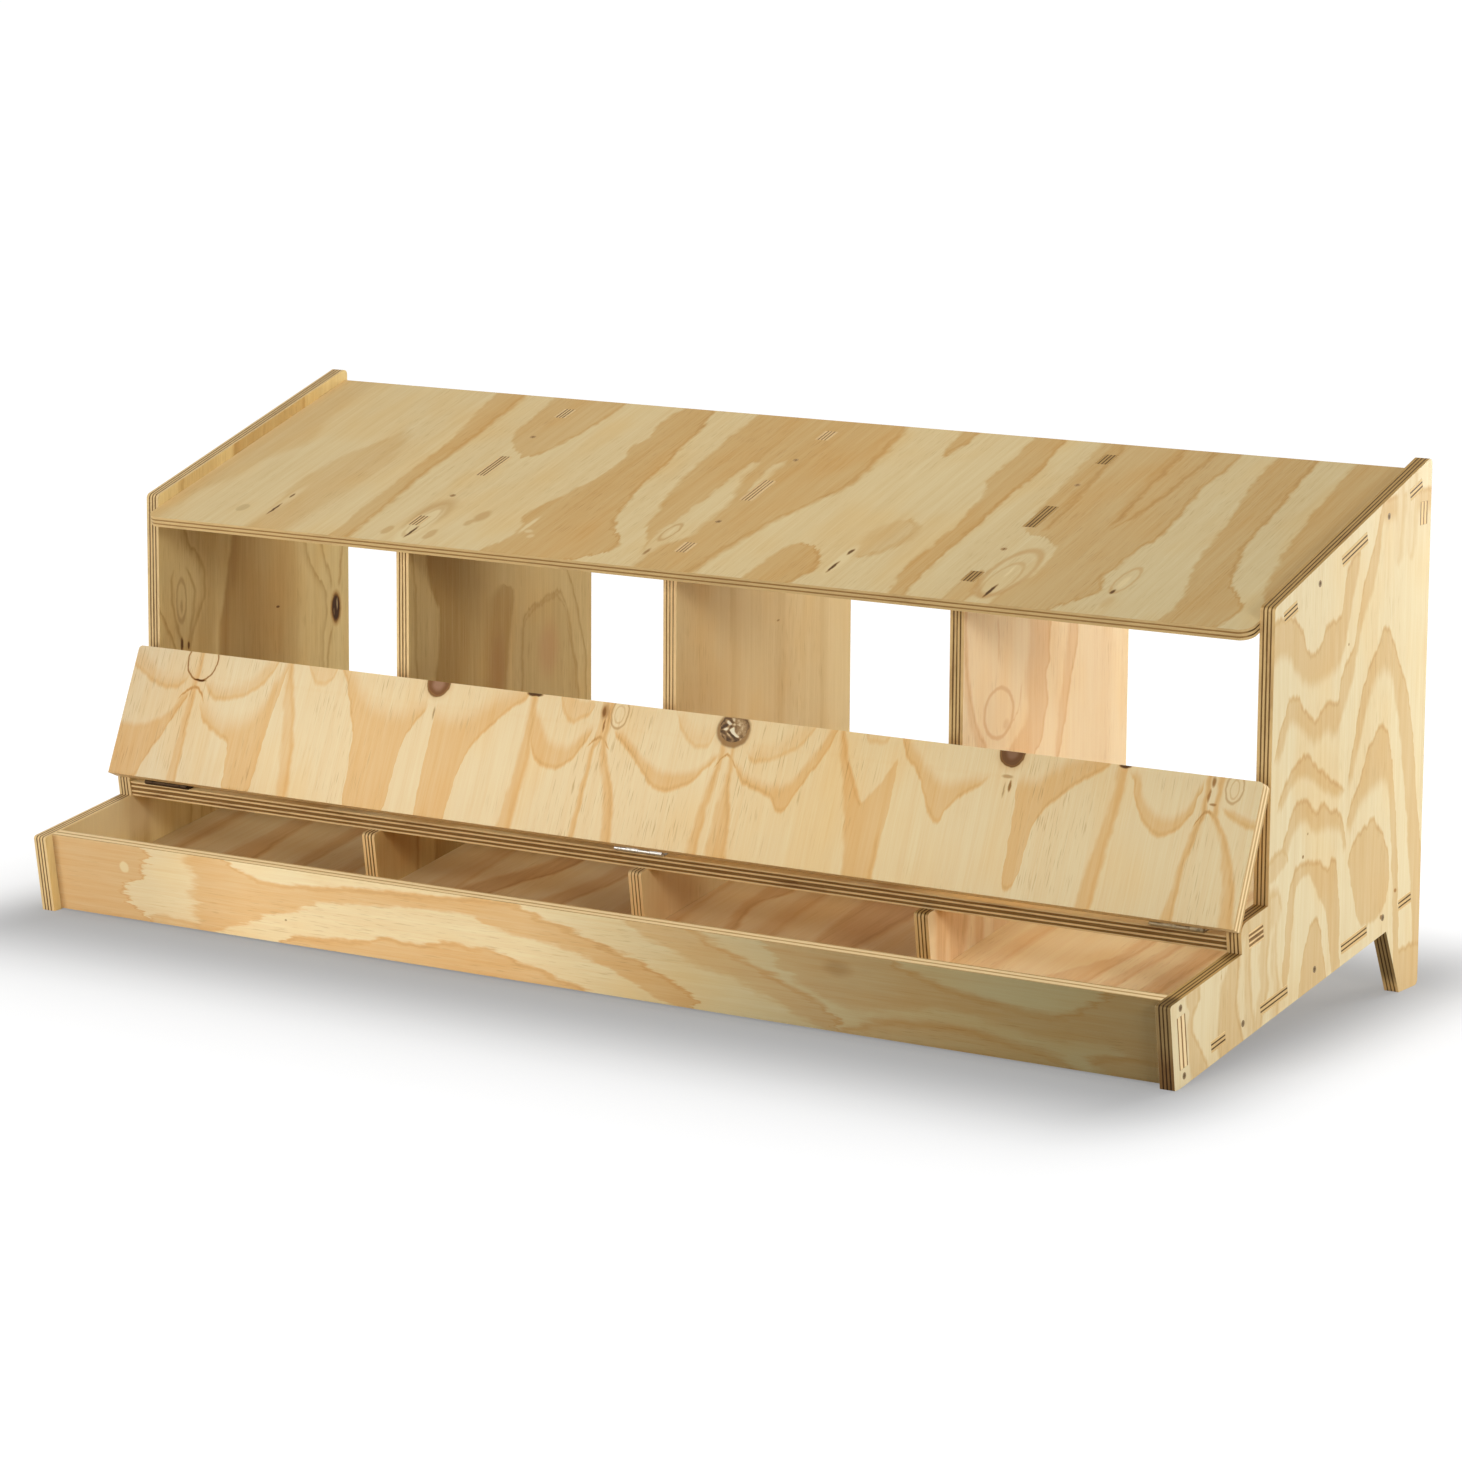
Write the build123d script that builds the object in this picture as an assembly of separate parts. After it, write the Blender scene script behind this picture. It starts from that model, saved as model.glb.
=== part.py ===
from build123d import *
import math
import os

# Plywood nesting box: four nests side by side, a sloping floor that lets the eggs roll into a front
# tray, and a hinged lid over the tray. X runs along the box, Y from front to back and Z up from the
# ground. The lid is shown open, leaning back on the front edges of the nests.
# Sizes are in millimetres and slopes in degrees.

# Whole box
LENGTH = 1200  # over the outer faces of the side panels
BACK_HEIGHT = 471.5  # top back corner of a side panel, before rounding
NEST_DEPTH = 296  # front edges of the nests to the back edges
PLY = 14  # side panels, dividers, front board, rails and lid
THIN_PLY = 10  # floor and roof
FLOOR_SLOPE = 9
ROOF_SLOPE = 18
DIVIDER_NAMES = ("left", "middle", "right")

# Outline of a side panel, heights square to the floor from its front bottom corner
TRAY_HEIGHT = 73
LEDGE_RISE = 25  # ledge above the tray's top edge
BELLY_DROP = 1.3  # lower edge below that corner
FOOT_DEPTH = 37.5
LEG_SLANT = 26  # front edge of the back leg, from upright
TRAY_RADIUS = 3  # top front corner
CORNER_RADIUS = 5
LEDGE_RADIUS = 10  # lets the open lid pass the ledge

# Front board and floor
FRONT_INSET = 10  # front board behind the front edges of the side panels
FRONT_TAB = 45
FLOOR_LIFT = 8.5  # underside of the floor above the front bottom corner
FLOOR_FRONT_TAB = 77.5  # middle of the first tab, up the slope from the front bottom corner
FLOOR_BACK_TAB = 30.5  # middle of the last tab, down the slope from the floor's back edge
FLOOR_LONG_OFFSET = 76  # long tabs from the middle of the row

# Roof
ROOF_LIP = 10.5  # roof's top below the sloping edges of the side panels
ROOF_OVERHANG = 24  # in front of the nests, along the slope
ROOF_RADIUS = 12
ROOF_FRONT_TAB = 25.5  # middle of the first tab, up the slope from the nests' front edges
ROOF_BACK_TAB = 37.5  # middle of the last tab, down the slope from the back edges
ROOF_TENON_SHIFT = 2.5  # dividers' tenons in front of the tabs

# Tabs and slots
TAB_SHORT = 25
TAB_LONG = 50
TENON_SHORT = 20
TENON_LONG = 44
SLOT_PLAY = 0.15

# Hinge rail, back rail and divider noses
RAIL_WIDTH = 50
RAIL_LAP = 3.2  # top back edge of the hinge rail behind the nests' front edges
RAIL_TAB = 26
BACK_RAIL_HEIGHT = 40
BACK_RAIL_TAB = 20
BACK_RAIL_INSET = 7.5
NOSE_REACH = 11.5  # in front of the hinge rail
NOSE_RADIUS = 4

# Tray lid
LID_WIDTH = 126  # closed, from the front edges of the side panels
LID_RADIUS = 4
STEP_PLAY = 0.6  # closed lid's back edge to the side panels
REST_PLAY = 0.3  # open lid to the nests' front edges

# Butt hinges
HINGE_NAMES = ("left", "middle", "right")
HINGE_END_INSET = 60  # middle of an outer hinge from the end of the box
HINGE_LENGTH = 51
HINGE_GAP = 2  # lid's back edge to the hinge rail
LEAF_WIDTH = 14  # from the pin's axis
LEAF_THICKNESS = 1.2
LEAF_PLAY = 0.5  # leaf to the other leaf's knuckles
KNUCKLES = 4
KNUCKLE_PLAY = 0.3
PIN_DIAMETER = 2.5
PIN_PLAY = 0.05
PIN_HEAD = 0.4
HINGE_SCREW_INSET = 10.5  # from the ends of a leaf

# Screws
SCREW_HEAD = 6
SCREW_SHANK = 3
SCREW_LENGTH = 40
HINGE_SCREW_HEAD = 5
HINGE_SCREW_SHANK = 2.6
HINGE_SCREW_LENGTH = 12
SCREW_POINT = 4
SCREW_PLAY = 0.1
RECESS_WIDTH = 0.8
RECESS_SHARE = 0.6  # length of the cross recess over the head's diameter
RECESS_DEPTH = 1

# Worked out from the sizes above
FLOOR_ANGLE = math.radians(FLOOR_SLOPE)
ROOF_ANGLE = math.radians(ROOF_SLOPE)
HALF = LENGTH / 2
INNER = HALF - PLY
END_SPANS = ((-HALF, -INNER), (INNER, HALF))
LEDGE_HEIGHT = TRAY_HEIGHT + LEDGE_RISE
RAIL_THICK = (TRAY_HEIGHT, TRAY_HEIGHT + PLY)
RAIL_TOP = TRAY_HEIGHT + PLY
RAIL_FRONT = LID_WIDTH + HINGE_GAP
RAIL_SPAN = (RAIL_FRONT, RAIL_FRONT + RAIL_WIDTH)
NEST_REACH = RAIL_SPAN[1] * math.cos(FLOOR_ANGLE) - RAIL_TOP * math.sin(FLOOR_ANGLE) - RAIL_LAP
FRONT_LEAN = (TRAY_HEIGHT - TRAY_RADIUS) * math.sin(FLOOR_ANGLE) + TRAY_RADIUS * (1 - math.cos(FLOOR_ANGLE))
DEPTH = FRONT_LEAN + NEST_REACH + NEST_DEPTH
FRONT_Y = FRONT_LEAN - DEPTH / 2
BACK_Y = DEPTH / 2
NEST_Y = BACK_Y - NEST_DEPTH
FLOOR_FRAME = Pos(0, FRONT_Y, 0) * Rot(FLOOR_SLOPE, 0, 0)
ROOF_FRAME = Pos(0, BACK_Y, BACK_HEIGHT) * Rot(ROOF_SLOPE, 0, 0)
UPRIGHT_FRAME = Pos(0, BACK_Y, 0)

DIVIDER_PITCH = (2 * INNER + PLY) / (len(DIVIDER_NAMES) + 1)
DIVIDER_X = [(place - (len(DIVIDER_NAMES) - 1) / 2) * DIVIDER_PITCH for place in range(len(DIVIDER_NAMES))]

FRONT_THICK = (FRONT_INSET, FRONT_INSET + PLY)
FLOOR_TOP = FLOOR_LIFT + THIN_PLY
FLOOR_THICK = (FLOOR_LIFT, FLOOR_TOP)
FLOOR_BACK = (BACK_Y - FRONT_Y + FLOOR_LIFT * math.sin(FLOOR_ANGLE)) / math.cos(FLOOR_ANGLE)
STEP_EDGE = LID_WIDTH + STEP_PLAY
NOSE_FRONT = RAIL_FRONT - NOSE_REACH
ROOF_UNDER = ROOF_LIP + THIN_PLY
ROOF_THICK = (-ROOF_UNDER, -ROOF_LIP)
ROOF_BACK = -ROOF_UNDER * math.tan(ROOF_ANGLE)
ROOF_REACH = NEST_DEPTH / math.cos(ROOF_ANGLE)
ROOF_FRONT = -ROOF_REACH - ROOF_OVERHANG
BACK_RAIL_THICK = (-BACK_RAIL_INSET - PLY, -BACK_RAIL_INSET)

KNUCKLE_RADIUS = PIN_DIAMETER / 2 + PIN_PLAY + LEAF_THICKNESS
LEAF_EDGE = KNUCKLE_RADIUS + LEAF_PLAY
AXIS_U = LID_WIDTH + HINGE_GAP / 2
AXIS_V = RAIL_TOP + KNUCKLE_RADIUS
HINGE_X = (HINGE_END_INSET - HALF, 0, HALF - HINGE_END_INSET)


def spans(centres, lengths):
    """Low and high ends of stretches with the given centres and lengths."""
    return [(centre - length / 2, centre + length / 2) for centre, length in zip(centres, lengths)]


def between(stretches):
    """Middles of the gaps between neighbouring stretches."""
    return [(one[1] + other[0]) / 2 for one, other in zip(stretches, stretches[1:])]


def tilted(u, v):
    """Y and Z of a point u up the floor's slope and v square to it, from the front bottom corner."""
    y = FRONT_Y + u * math.cos(FLOOR_ANGLE) - v * math.sin(FLOOR_ANGLE)
    return y, u * math.sin(FLOOR_ANGLE) + v * math.cos(FLOOR_ANGLE)


def floor_height(y, v):
    """Z of the line that runs v square above the front bottom corner, parallel to the floor."""
    return (y - FRONT_Y) * math.tan(FLOOR_ANGLE) + v / math.cos(FLOOR_ANGLE)


def roof_height(y, depth):
    """Z of the line that runs the given depth square below the side panels' sloping edges."""
    return BACK_HEIGHT + (y - BACK_Y) * math.tan(ROOF_ANGLE) - depth / math.cos(ROOF_ANGLE)


BACK_RAIL_TOP = roof_height(BACK_Y + BACK_RAIL_THICK[0], ROOF_UNDER)
BACK_RAIL_SPAN = (BACK_RAIL_TOP - BACK_RAIL_HEIGHT, BACK_RAIL_TOP)
AXIS_Y, AXIS_Z = tilted(AXIS_U, AXIS_V)


def lid_swing():
    """Angle from the closed lid to the open one, whose top edge meets the nests' front edges."""
    reach = HINGE_GAP / 2 + LID_WIDTH
    radius = math.hypot(reach, KNUCKLE_RADIUS)
    closed = 180 + FLOOR_SLOPE + math.degrees(math.atan2(KNUCKLE_RADIUS, reach))
    leaning = math.degrees(math.acos((NEST_Y - REST_PLAY - AXIS_Y) / radius))
    return closed - leaning


LID_SWING = lid_swing()


def floor_centres():
    """Middles of the floor's four tabs in each side panel, along the slope."""
    first = FLOOR_FRONT_TAB
    last = FLOOR_BACK - FLOOR_BACK_TAB
    middle = (first + last) / 2
    return [first, middle - FLOOR_LONG_OFFSET, middle + FLOOR_LONG_OFFSET, last]


def floor_tabs():
    """Stretches of the floor's tabs in the side panels, along the slope."""
    return spans(floor_centres(), (TAB_SHORT, TAB_LONG, TAB_LONG, TAB_SHORT))


def floor_tenons():
    """Stretches of a divider's three tenons in the floor, behind the first tab."""
    return spans(floor_centres()[1:], (TENON_LONG, TENON_LONG, TENON_SHORT))


def floor_screw_places():
    """Screw positions along the floor's slope, between its tabs."""
    return between(floor_tabs())


def roof_centres(shift=0):
    """Middles of a row of three tabs or tenons along the roof's slope, shifted forwards."""
    first = ROOF_FRONT_TAB - ROOF_REACH - shift
    last = -ROOF_BACK_TAB - shift
    return [first, (first + last) / 2, last]


def roof_tabs():
    """Stretches of the roof's tabs in the side panels, along the slope."""
    return spans(roof_centres(), (TAB_SHORT, TAB_LONG, TAB_SHORT))


def roof_tenons():
    """Stretches of a divider's tenons in the roof, along the slope."""
    return spans(roof_centres(ROOF_TENON_SHIFT), (TENON_SHORT, TENON_LONG, TENON_SHORT))


def grown(span, play):
    """A stretch with play added at both ends."""
    return span[0] - play, span[1] + play


def centred(span, length):
    """A stretch of the given length in the middle of another."""
    middle = (span[0] + span[1]) / 2
    return middle - length / 2, middle + length / 2


def block(frame, x, s, w):
    """Box between two values each of x, s and w in a frame that may slope."""
    ranges = (x, s, w)
    size = [high - low for low, high in ranges]
    middle = [(low + high) / 2 for low, high in ranges]
    return frame * Pos(*middle) * Box(*size)


def rounded_face(corners):
    """Flat face through (a, b, radius) corners, rounded where the radius isn't 0."""
    face = make_face(Polyline(*[(a, b) for a, b, radius in corners], close=True))
    for a, b, radius in corners:
        if radius:
            corner = face.vertices().sort_by_distance((a, b, 0))[0]
            face = fillet(corner, radius)
    return face


def upright_panel(corners, x_low):
    """Panel of one plywood thickness from an outline of (y, z, radius) corners."""
    return Pos(x_low, 0, 0) * extrude(Plane.YZ * rounded_face(corners), PLY, dir=(1, 0, 0))


def end_tabs(frame, stretches, thick):
    """Tabs that carry a board through both side panels to their outer faces."""
    return [block(frame, x, stretch, thick) for x in END_SPANS for stretch in stretches]


def end_slots(frame, stretches, thick):
    """Room in both side panels for the tabs of a board."""
    room = grown(thick, SLOT_PLAY)
    return [block(frame, x, grown(stretch, SLOT_PLAY), room) for x in END_SPANS for stretch in stretches]


def screw_body(head, shank, length, play=0):
    """Turned shape of a countersunk screw, point down, with the top of its head at the origin."""
    head_radius = head / 2 + play
    shank_radius = shank / 2 + play
    neck = shank_radius - head_radius
    outline = Polyline(
        (0, 0),
        (head_radius, 0),
        (shank_radius, neck),
        (shank_radius, SCREW_POINT - length),
        (0, -length - play),
        close=True,
    )
    return revolve(Plane.XZ * make_face(outline), Axis.Z)


def screw(head, shank, length):
    """Countersunk screw with a cross recess in its head."""
    long_side = head * RECESS_SHARE
    recess = Box(long_side, RECESS_WIDTH, 2 * RECESS_DEPTH) + Box(RECESS_WIDTH, long_side, 2 * RECESS_DEPTH)
    return screw_body(head, shank, length) - recess


def wood_screws(places):
    """Group of panel screws at the given places."""
    return Compound(children=[place * screw(SCREW_HEAD, SCREW_SHANK, SCREW_LENGTH) for place in places])


def wood_screw_holes(places):
    """Countersunk holes for panel screws at the given places."""
    hole = screw_body(SCREW_HEAD, SCREW_SHANK, SCREW_LENGTH, SCREW_PLAY)
    return [place * hole for place in places]


def side_places(frame, points):
    """Places of screws through both side panels at (s, w) points of a frame, heads outwards."""
    return [
        frame * Pos(sign * HALF, s, w) * Rot(0, sign * 90, 0)
        for sign in (-1, 1)
        for s, w in points
    ]


def front_screw_places():
    """Two screws through each side panel into the ends of the front board."""
    across = sum(FRONT_THICK) / 2
    low, high = FRONT_TABS[0]
    return side_places(FLOOR_FRAME, [(across, low / 2), (across, (high + TRAY_HEIGHT) / 2)])


def floor_side_places():
    """Three screws through each side panel into the ends of the floor."""
    return side_places(FLOOR_FRAME, [(u, sum(FLOOR_THICK) / 2) for u in floor_screw_places()])


def roof_side_places():
    """Two screws through each side panel into the ends of the roof."""
    middle = sum(ROOF_THICK) / 2
    return side_places(ROOF_FRAME, [(s, middle) for s in between(roof_tabs())])


def roof_divider_places():
    """Two screws through the roof into the top of each divider."""
    along = between(roof_tenons())
    return [ROOF_FRAME * Pos(x, s, -ROOF_LIP) for x in DIVIDER_X for s in along]


def floor_divider_places():
    """Two screws up through the floor into the foot of each divider."""
    along = floor_screw_places()[1:]
    return [FLOOR_FRAME * Pos(x, u, FLOOR_LIFT) * Rot(180, 0, 0) for x in DIVIDER_X for u in along]


FRONT_TABS = [centred((0, TRAY_HEIGHT), FRONT_TAB)]
RAIL_TABS = [centred(RAIL_SPAN, RAIL_TAB)]
BACK_RAIL_TABS = [centred(BACK_RAIL_SPAN, BACK_RAIL_TAB)]


def side_cuts():
    """Slots and screw holes of both side panels."""
    cuts = []
    cuts += end_slots(FLOOR_FRAME, floor_tabs(), FLOOR_THICK)
    cuts += end_slots(FLOOR_FRAME, [FRONT_THICK], FRONT_TABS[0])
    cuts += end_slots(FLOOR_FRAME, RAIL_TABS, RAIL_THICK)
    cuts += end_slots(ROOF_FRAME, roof_tabs(), ROOF_THICK)
    cuts += end_slots(UPRIGHT_FRAME, [BACK_RAIL_THICK], BACK_RAIL_TABS[0])
    cuts += wood_screw_holes(front_screw_places() + floor_side_places() + roof_side_places())
    return cuts


def side_outline():
    """Corners of a side panel: tray in front, step and ledge, upright, sloping top and back leg."""
    foot_front = BACK_Y - FOOT_DEPTH
    leg_angle = math.radians(LEG_SLANT)
    rise = (foot_front - FRONT_Y) * math.sin(FLOOR_ANGLE) - BELLY_DROP
    leg = rise / math.cos(leg_angle - FLOOR_ANGLE)
    leg_top = (foot_front - leg * math.sin(leg_angle), leg * math.cos(leg_angle))
    return [
        (FRONT_Y, 0, 0),
        (*tilted(BELLY_DROP / math.tan(FLOOR_ANGLE), -BELLY_DROP), 0),
        (*leg_top, 0),
        (foot_front, 0, 0),
        (BACK_Y, 0, CORNER_RADIUS),
        (BACK_Y, BACK_HEIGHT, CORNER_RADIUS),
        (NEST_Y, roof_height(NEST_Y, 0), CORNER_RADIUS),
        (NEST_Y, floor_height(NEST_Y, LEDGE_HEIGHT), 0),
        (*tilted(STEP_EDGE, LEDGE_HEIGHT), LEDGE_RADIUS),
        (*tilted(STEP_EDGE, TRAY_HEIGHT), 0),
        (*tilted(0, TRAY_HEIGHT), TRAY_RADIUS),
    ]


def side_panel(x_low):
    """Side panel with slots for every board that it holds."""
    return upright_panel(side_outline(), x_low) - side_cuts()


def divider(x):
    """Divider between two nests, with tenons through the roof and the floor."""
    outline = [
        (*tilted(NOSE_FRONT, FLOOR_TOP), 0),
        (BACK_Y, floor_height(BACK_Y, FLOOR_TOP), 0),
        (BACK_Y, roof_height(BACK_Y, ROOF_UNDER), 0),
        (NEST_Y, roof_height(NEST_Y, ROOF_UNDER), 0),
        (NEST_Y, floor_height(NEST_Y, TRAY_HEIGHT), 0),
        (*tilted(NOSE_FRONT, TRAY_HEIGHT), NOSE_RADIUS),
    ]
    across = (x - PLY / 2, x + PLY / 2)
    panel = upright_panel(outline, across[0])
    panel += [block(ROOF_FRAME, across, s, ROOF_THICK) for s in roof_tenons()]
    panel += [block(FLOOR_FRAME, across, u, FLOOR_THICK) for u in floor_tenons()]
    rail_room = block(FLOOR_FRAME, across, grown(RAIL_SPAN, SLOT_PLAY), (TRAY_HEIGHT, RAIL_TOP + SLOT_PLAY))
    back_rail_z = (BACK_RAIL_SPAN[0] - SLOT_PLAY, roof_height(BACK_Y, ROOF_UNDER))
    back_rail_room = block(UPRIGHT_FRAME, across, grown(BACK_RAIL_THICK, SLOT_PLAY), back_rail_z)
    holes = wood_screw_holes(roof_divider_places() + floor_divider_places())
    return panel - [rail_room, back_rail_room, *holes]


def floor_panel():
    """Sloping floor from the front board to the back, with slots for the dividers' tenons."""
    board = block(FLOOR_FRAME, (-INNER, INNER), (FRONT_THICK[1], FLOOR_BACK), FLOOR_THICK)
    board += end_tabs(FLOOR_FRAME, floor_tabs(), FLOOR_THICK)
    slots = [
        block(FLOOR_FRAME, grown((x - PLY / 2, x + PLY / 2), SLOT_PLAY), grown(u, SLOT_PLAY), FLOOR_THICK)
        for x in DIVIDER_X
        for u in floor_tenons()
    ]
    return board - [*slots, *wood_screw_holes(floor_side_places() + floor_divider_places())]


def roof_panel():
    """Roof between the side panels, round at its front corners, with slots for the dividers' tenons."""
    outline = [
        (-INNER, ROOF_FRONT, ROOF_RADIUS),
        (INNER, ROOF_FRONT, ROOF_RADIUS),
        (INNER, ROOF_BACK, 0),
        (-INNER, ROOF_BACK, 0),
    ]
    board = ROOF_FRAME * Pos(0, 0, -ROOF_UNDER) * extrude(rounded_face(outline), THIN_PLY, dir=(0, 0, 1))
    board += end_tabs(ROOF_FRAME, roof_tabs(), ROOF_THICK)
    slots = [
        block(ROOF_FRAME, grown((x - PLY / 2, x + PLY / 2), SLOT_PLAY), grown(s, SLOT_PLAY), ROOF_THICK)
        for x in DIVIDER_X
        for s in roof_tenons()
    ]
    return board - [*slots, *wood_screw_holes(roof_side_places() + roof_divider_places())]


def front_board():
    """Upright board that closes the front of the egg tray."""
    board = block(FLOOR_FRAME, (-INNER, INNER), FRONT_THICK, (0, TRAY_HEIGHT))
    board += end_tabs(FLOOR_FRAME, [FRONT_THICK], FRONT_TABS[0])
    return board - wood_screw_holes(front_screw_places())


def hinge_rail():
    """Flat rail over the gap that the eggs roll through, which carries the hinges."""
    board = block(FLOOR_FRAME, (-INNER, INNER), RAIL_SPAN, RAIL_THICK)
    board += end_tabs(FLOOR_FRAME, RAIL_TABS, RAIL_THICK)
    return board - hinge_screw_holes(rail_screw_places())


def back_rail():
    """Upright rail under the back of the roof."""
    board = block(UPRIGHT_FRAME, (-INNER, INNER), BACK_RAIL_THICK, BACK_RAIL_SPAN)
    return board + end_tabs(UPRIGHT_FRAME, [BACK_RAIL_THICK], BACK_RAIL_TABS[0])


def opened(shape):
    """A piece of the closed lid, swung open."""
    return shape.rotate(Axis((0, AXIS_Y, AXIS_Z), (1, 0, 0)), -LID_SWING)


def tray_lid():
    """Lid of the egg tray, as long as the box, round at the corners of its free edge."""
    outline = [
        (-HALF, 0, LID_RADIUS),
        (HALF, 0, LID_RADIUS),
        (HALF, LID_WIDTH, 0),
        (-HALF, LID_WIDTH, 0),
    ]
    board = FLOOR_FRAME * Pos(0, 0, TRAY_HEIGHT) * extrude(rounded_face(outline), PLY, dir=(0, 0, 1))
    return opened(board - hinge_screw_holes(lid_screw_places()))


def hinge_screw_places(side):
    """Places of the hinge screws on one side of the axis: 1 for the rail, -1 for the lid."""
    u = AXIS_U + side * (LEAF_EDGE + LEAF_WIDTH) / 2
    apart = HINGE_LENGTH / 2 - HINGE_SCREW_INSET
    return [
        FLOOR_FRAME * Pos(x + sign * apart, u, RAIL_TOP + LEAF_THICKNESS)
        for x in HINGE_X
        for sign in (-1, 1)
    ]


def rail_screw_places():
    """Places of the screws that hold the hinges to the rail."""
    return hinge_screw_places(1)


def lid_screw_places():
    """Places of the screws that hold the hinges to the closed lid."""
    return hinge_screw_places(-1)


def hinge_screws(places):
    """Group of hinge screws at the given places."""
    one = screw(HINGE_SCREW_HEAD, HINGE_SCREW_SHANK, HINGE_SCREW_LENGTH)
    return Compound(children=[place * one for place in places])


def hinge_screw_holes(places):
    """Countersunk holes for hinge screws at the given places."""
    hole = screw_body(HINGE_SCREW_HEAD, HINGE_SCREW_SHANK, HINGE_SCREW_LENGTH, SCREW_PLAY)
    return [place * hole for place in places]


def rod(x_low, x_high, radius):
    """Round bar on the hinge axis of the closed lid."""
    length = x_high - x_low
    middle = (x_low + x_high) / 2
    return FLOOR_FRAME * Pos(middle, AXIS_U, AXIS_V) * Rot(0, 90, 0) * Cylinder(radius, length)


def hinge_leaf(x, side, places):
    """Leaf with every other knuckle: side 1 lies on the rail, side -1 on the closed lid."""
    low = x - HINGE_LENGTH / 2
    pitch = HINGE_LENGTH / KNUCKLES
    thick = (RAIL_TOP, RAIL_TOP + LEAF_THICKNESS)
    plate = sorted((AXIS_U + side * LEAF_EDGE, AXIS_U + side * LEAF_WIDTH))
    root = sorted((AXIS_U, AXIS_U + side * LEAF_WIDTH))
    leaf = block(FLOOR_FRAME, (low, low + HINGE_LENGTH), plate, thick)
    first = 0 if side == 1 else 1
    for knuckle in range(first, KNUCKLES, 2):
        ends = grown((low + knuckle * pitch, low + (knuckle + 1) * pitch), -KNUCKLE_PLAY / 2)
        leaf += block(FLOOR_FRAME, ends, root, thick)
        leaf += rod(*ends, KNUCKLE_RADIUS)
    bore = rod(low, low + HINGE_LENGTH, PIN_DIAMETER / 2 + PIN_PLAY)
    return leaf - [bore, *hinge_screw_holes(places)]


def hinge_pin(x):
    """Pin through all the knuckles of a hinge, just proud of them at both ends."""
    reach = HINGE_LENGTH / 2 + PIN_HEAD
    return rod(x - reach, x + reach, PIN_DIAMETER / 2)


def all_pieces():
    """Every piece of the box by name, with the lid open."""
    pieces = {
        "side_panel_left": side_panel(-HALF),
        "side_panel_right": side_panel(INNER),
        "floor_panel": floor_panel(),
        "roof_panel": roof_panel(),
        "front_board": front_board(),
        "hinge_rail": hinge_rail(),
        "back_rail": back_rail(),
        "tray_lid": tray_lid(),
        "front_board_screws": wood_screws(front_screw_places()),
        "floor_end_screws": wood_screws(floor_side_places()),
        "roof_end_screws": wood_screws(roof_side_places()),
        "roof_divider_screws": wood_screws(roof_divider_places()),
        "floor_divider_screws": wood_screws(floor_divider_places()),
        "hinge_rail_screws": hinge_screws(rail_screw_places()),
        "hinge_lid_screws": opened(hinge_screws(lid_screw_places())),
    }
    for name, x in zip(DIVIDER_NAMES, DIVIDER_X):
        pieces[f"divider_{name}"] = divider(x)
    for name, x in zip(HINGE_NAMES, HINGE_X):
        pieces[f"hinge_{name}_rail_leaf"] = hinge_leaf(x, 1, rail_screw_places())
        pieces[f"hinge_{name}_lid_leaf"] = opened(hinge_leaf(x, -1, lid_screw_places()))
        pieces[f"hinge_{name}_pin"] = hinge_pin(x)
    return pieces


os.makedirs("parts", exist_ok=True)
for node, piece in all_pieces().items():
    export_step(piece, f"parts/{node}.step")
print(f"lid hinge axis at y {AXIS_Y:.3f}, z {AXIS_Z:.3f}, swing to closed {LID_SWING:.3f} degrees")
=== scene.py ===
"""Looks of a plywood nesting box: pine veneer, ply edges, zinc hinges, dark screws and a white studio."""
import logging
import math
from dataclasses import dataclass
from enum import Enum
from typing import Any, Optional, Sequence, Union

import bpy
import numpy as np
from mathutils import Matrix, Vector


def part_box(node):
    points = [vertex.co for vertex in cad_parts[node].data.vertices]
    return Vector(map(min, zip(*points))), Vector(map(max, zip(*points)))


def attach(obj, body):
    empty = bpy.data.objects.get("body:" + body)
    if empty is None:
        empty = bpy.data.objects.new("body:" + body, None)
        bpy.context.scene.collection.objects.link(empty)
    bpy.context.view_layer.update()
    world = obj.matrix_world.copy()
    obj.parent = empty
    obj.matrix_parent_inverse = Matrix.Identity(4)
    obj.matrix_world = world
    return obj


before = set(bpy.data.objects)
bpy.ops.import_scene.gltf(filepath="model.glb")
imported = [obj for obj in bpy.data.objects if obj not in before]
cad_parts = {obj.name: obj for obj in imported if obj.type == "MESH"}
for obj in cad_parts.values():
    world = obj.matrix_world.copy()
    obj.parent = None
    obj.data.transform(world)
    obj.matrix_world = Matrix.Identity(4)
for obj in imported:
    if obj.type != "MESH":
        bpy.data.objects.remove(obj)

Colour = tuple[float, float, float]
Feed = Union[bpy.types.NodeSocket, float, tuple, Vector, None]
Socket = bpy.types.NodeSocket
Row = tuple[float, float, float]

MM = 0.001
LOG = logging.getLogger("nesting_box")

# How a screen shows light: full value, end and slope of the straight foot, offset and power of the curve
FULL_VALUE = 255.0
FOOT_END = 0.04045
FOOT_SLOPE = 12.92
CURVE_OFFSET = 0.055
CURVE_POWER = 2.4
WHITE_LIGHT = (1.0, 1.0, 1.0, 1.0)

# Bands and marks: the dark line along a band and the shake of marks in millimetres, the sum of red, green
# and blue below which a mark is dark, the full part of a ring, and the spread of brown around dark marks
RIM_WIDTH = 3.5
WOBBLE = 2.4
DARK_MARK = 330
RING_CORE = 0.3
BROWN_SPREAD = 0.5

# Veneer: tones that the ramp spans, place of late wood on it, and what dark lines keep of its colour
TONE_SPAN = (-0.2, 2.2)
TAN_PLACE = 0.58
DEEP_SHARE = (0.85, 0.77, 0.66)

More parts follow.
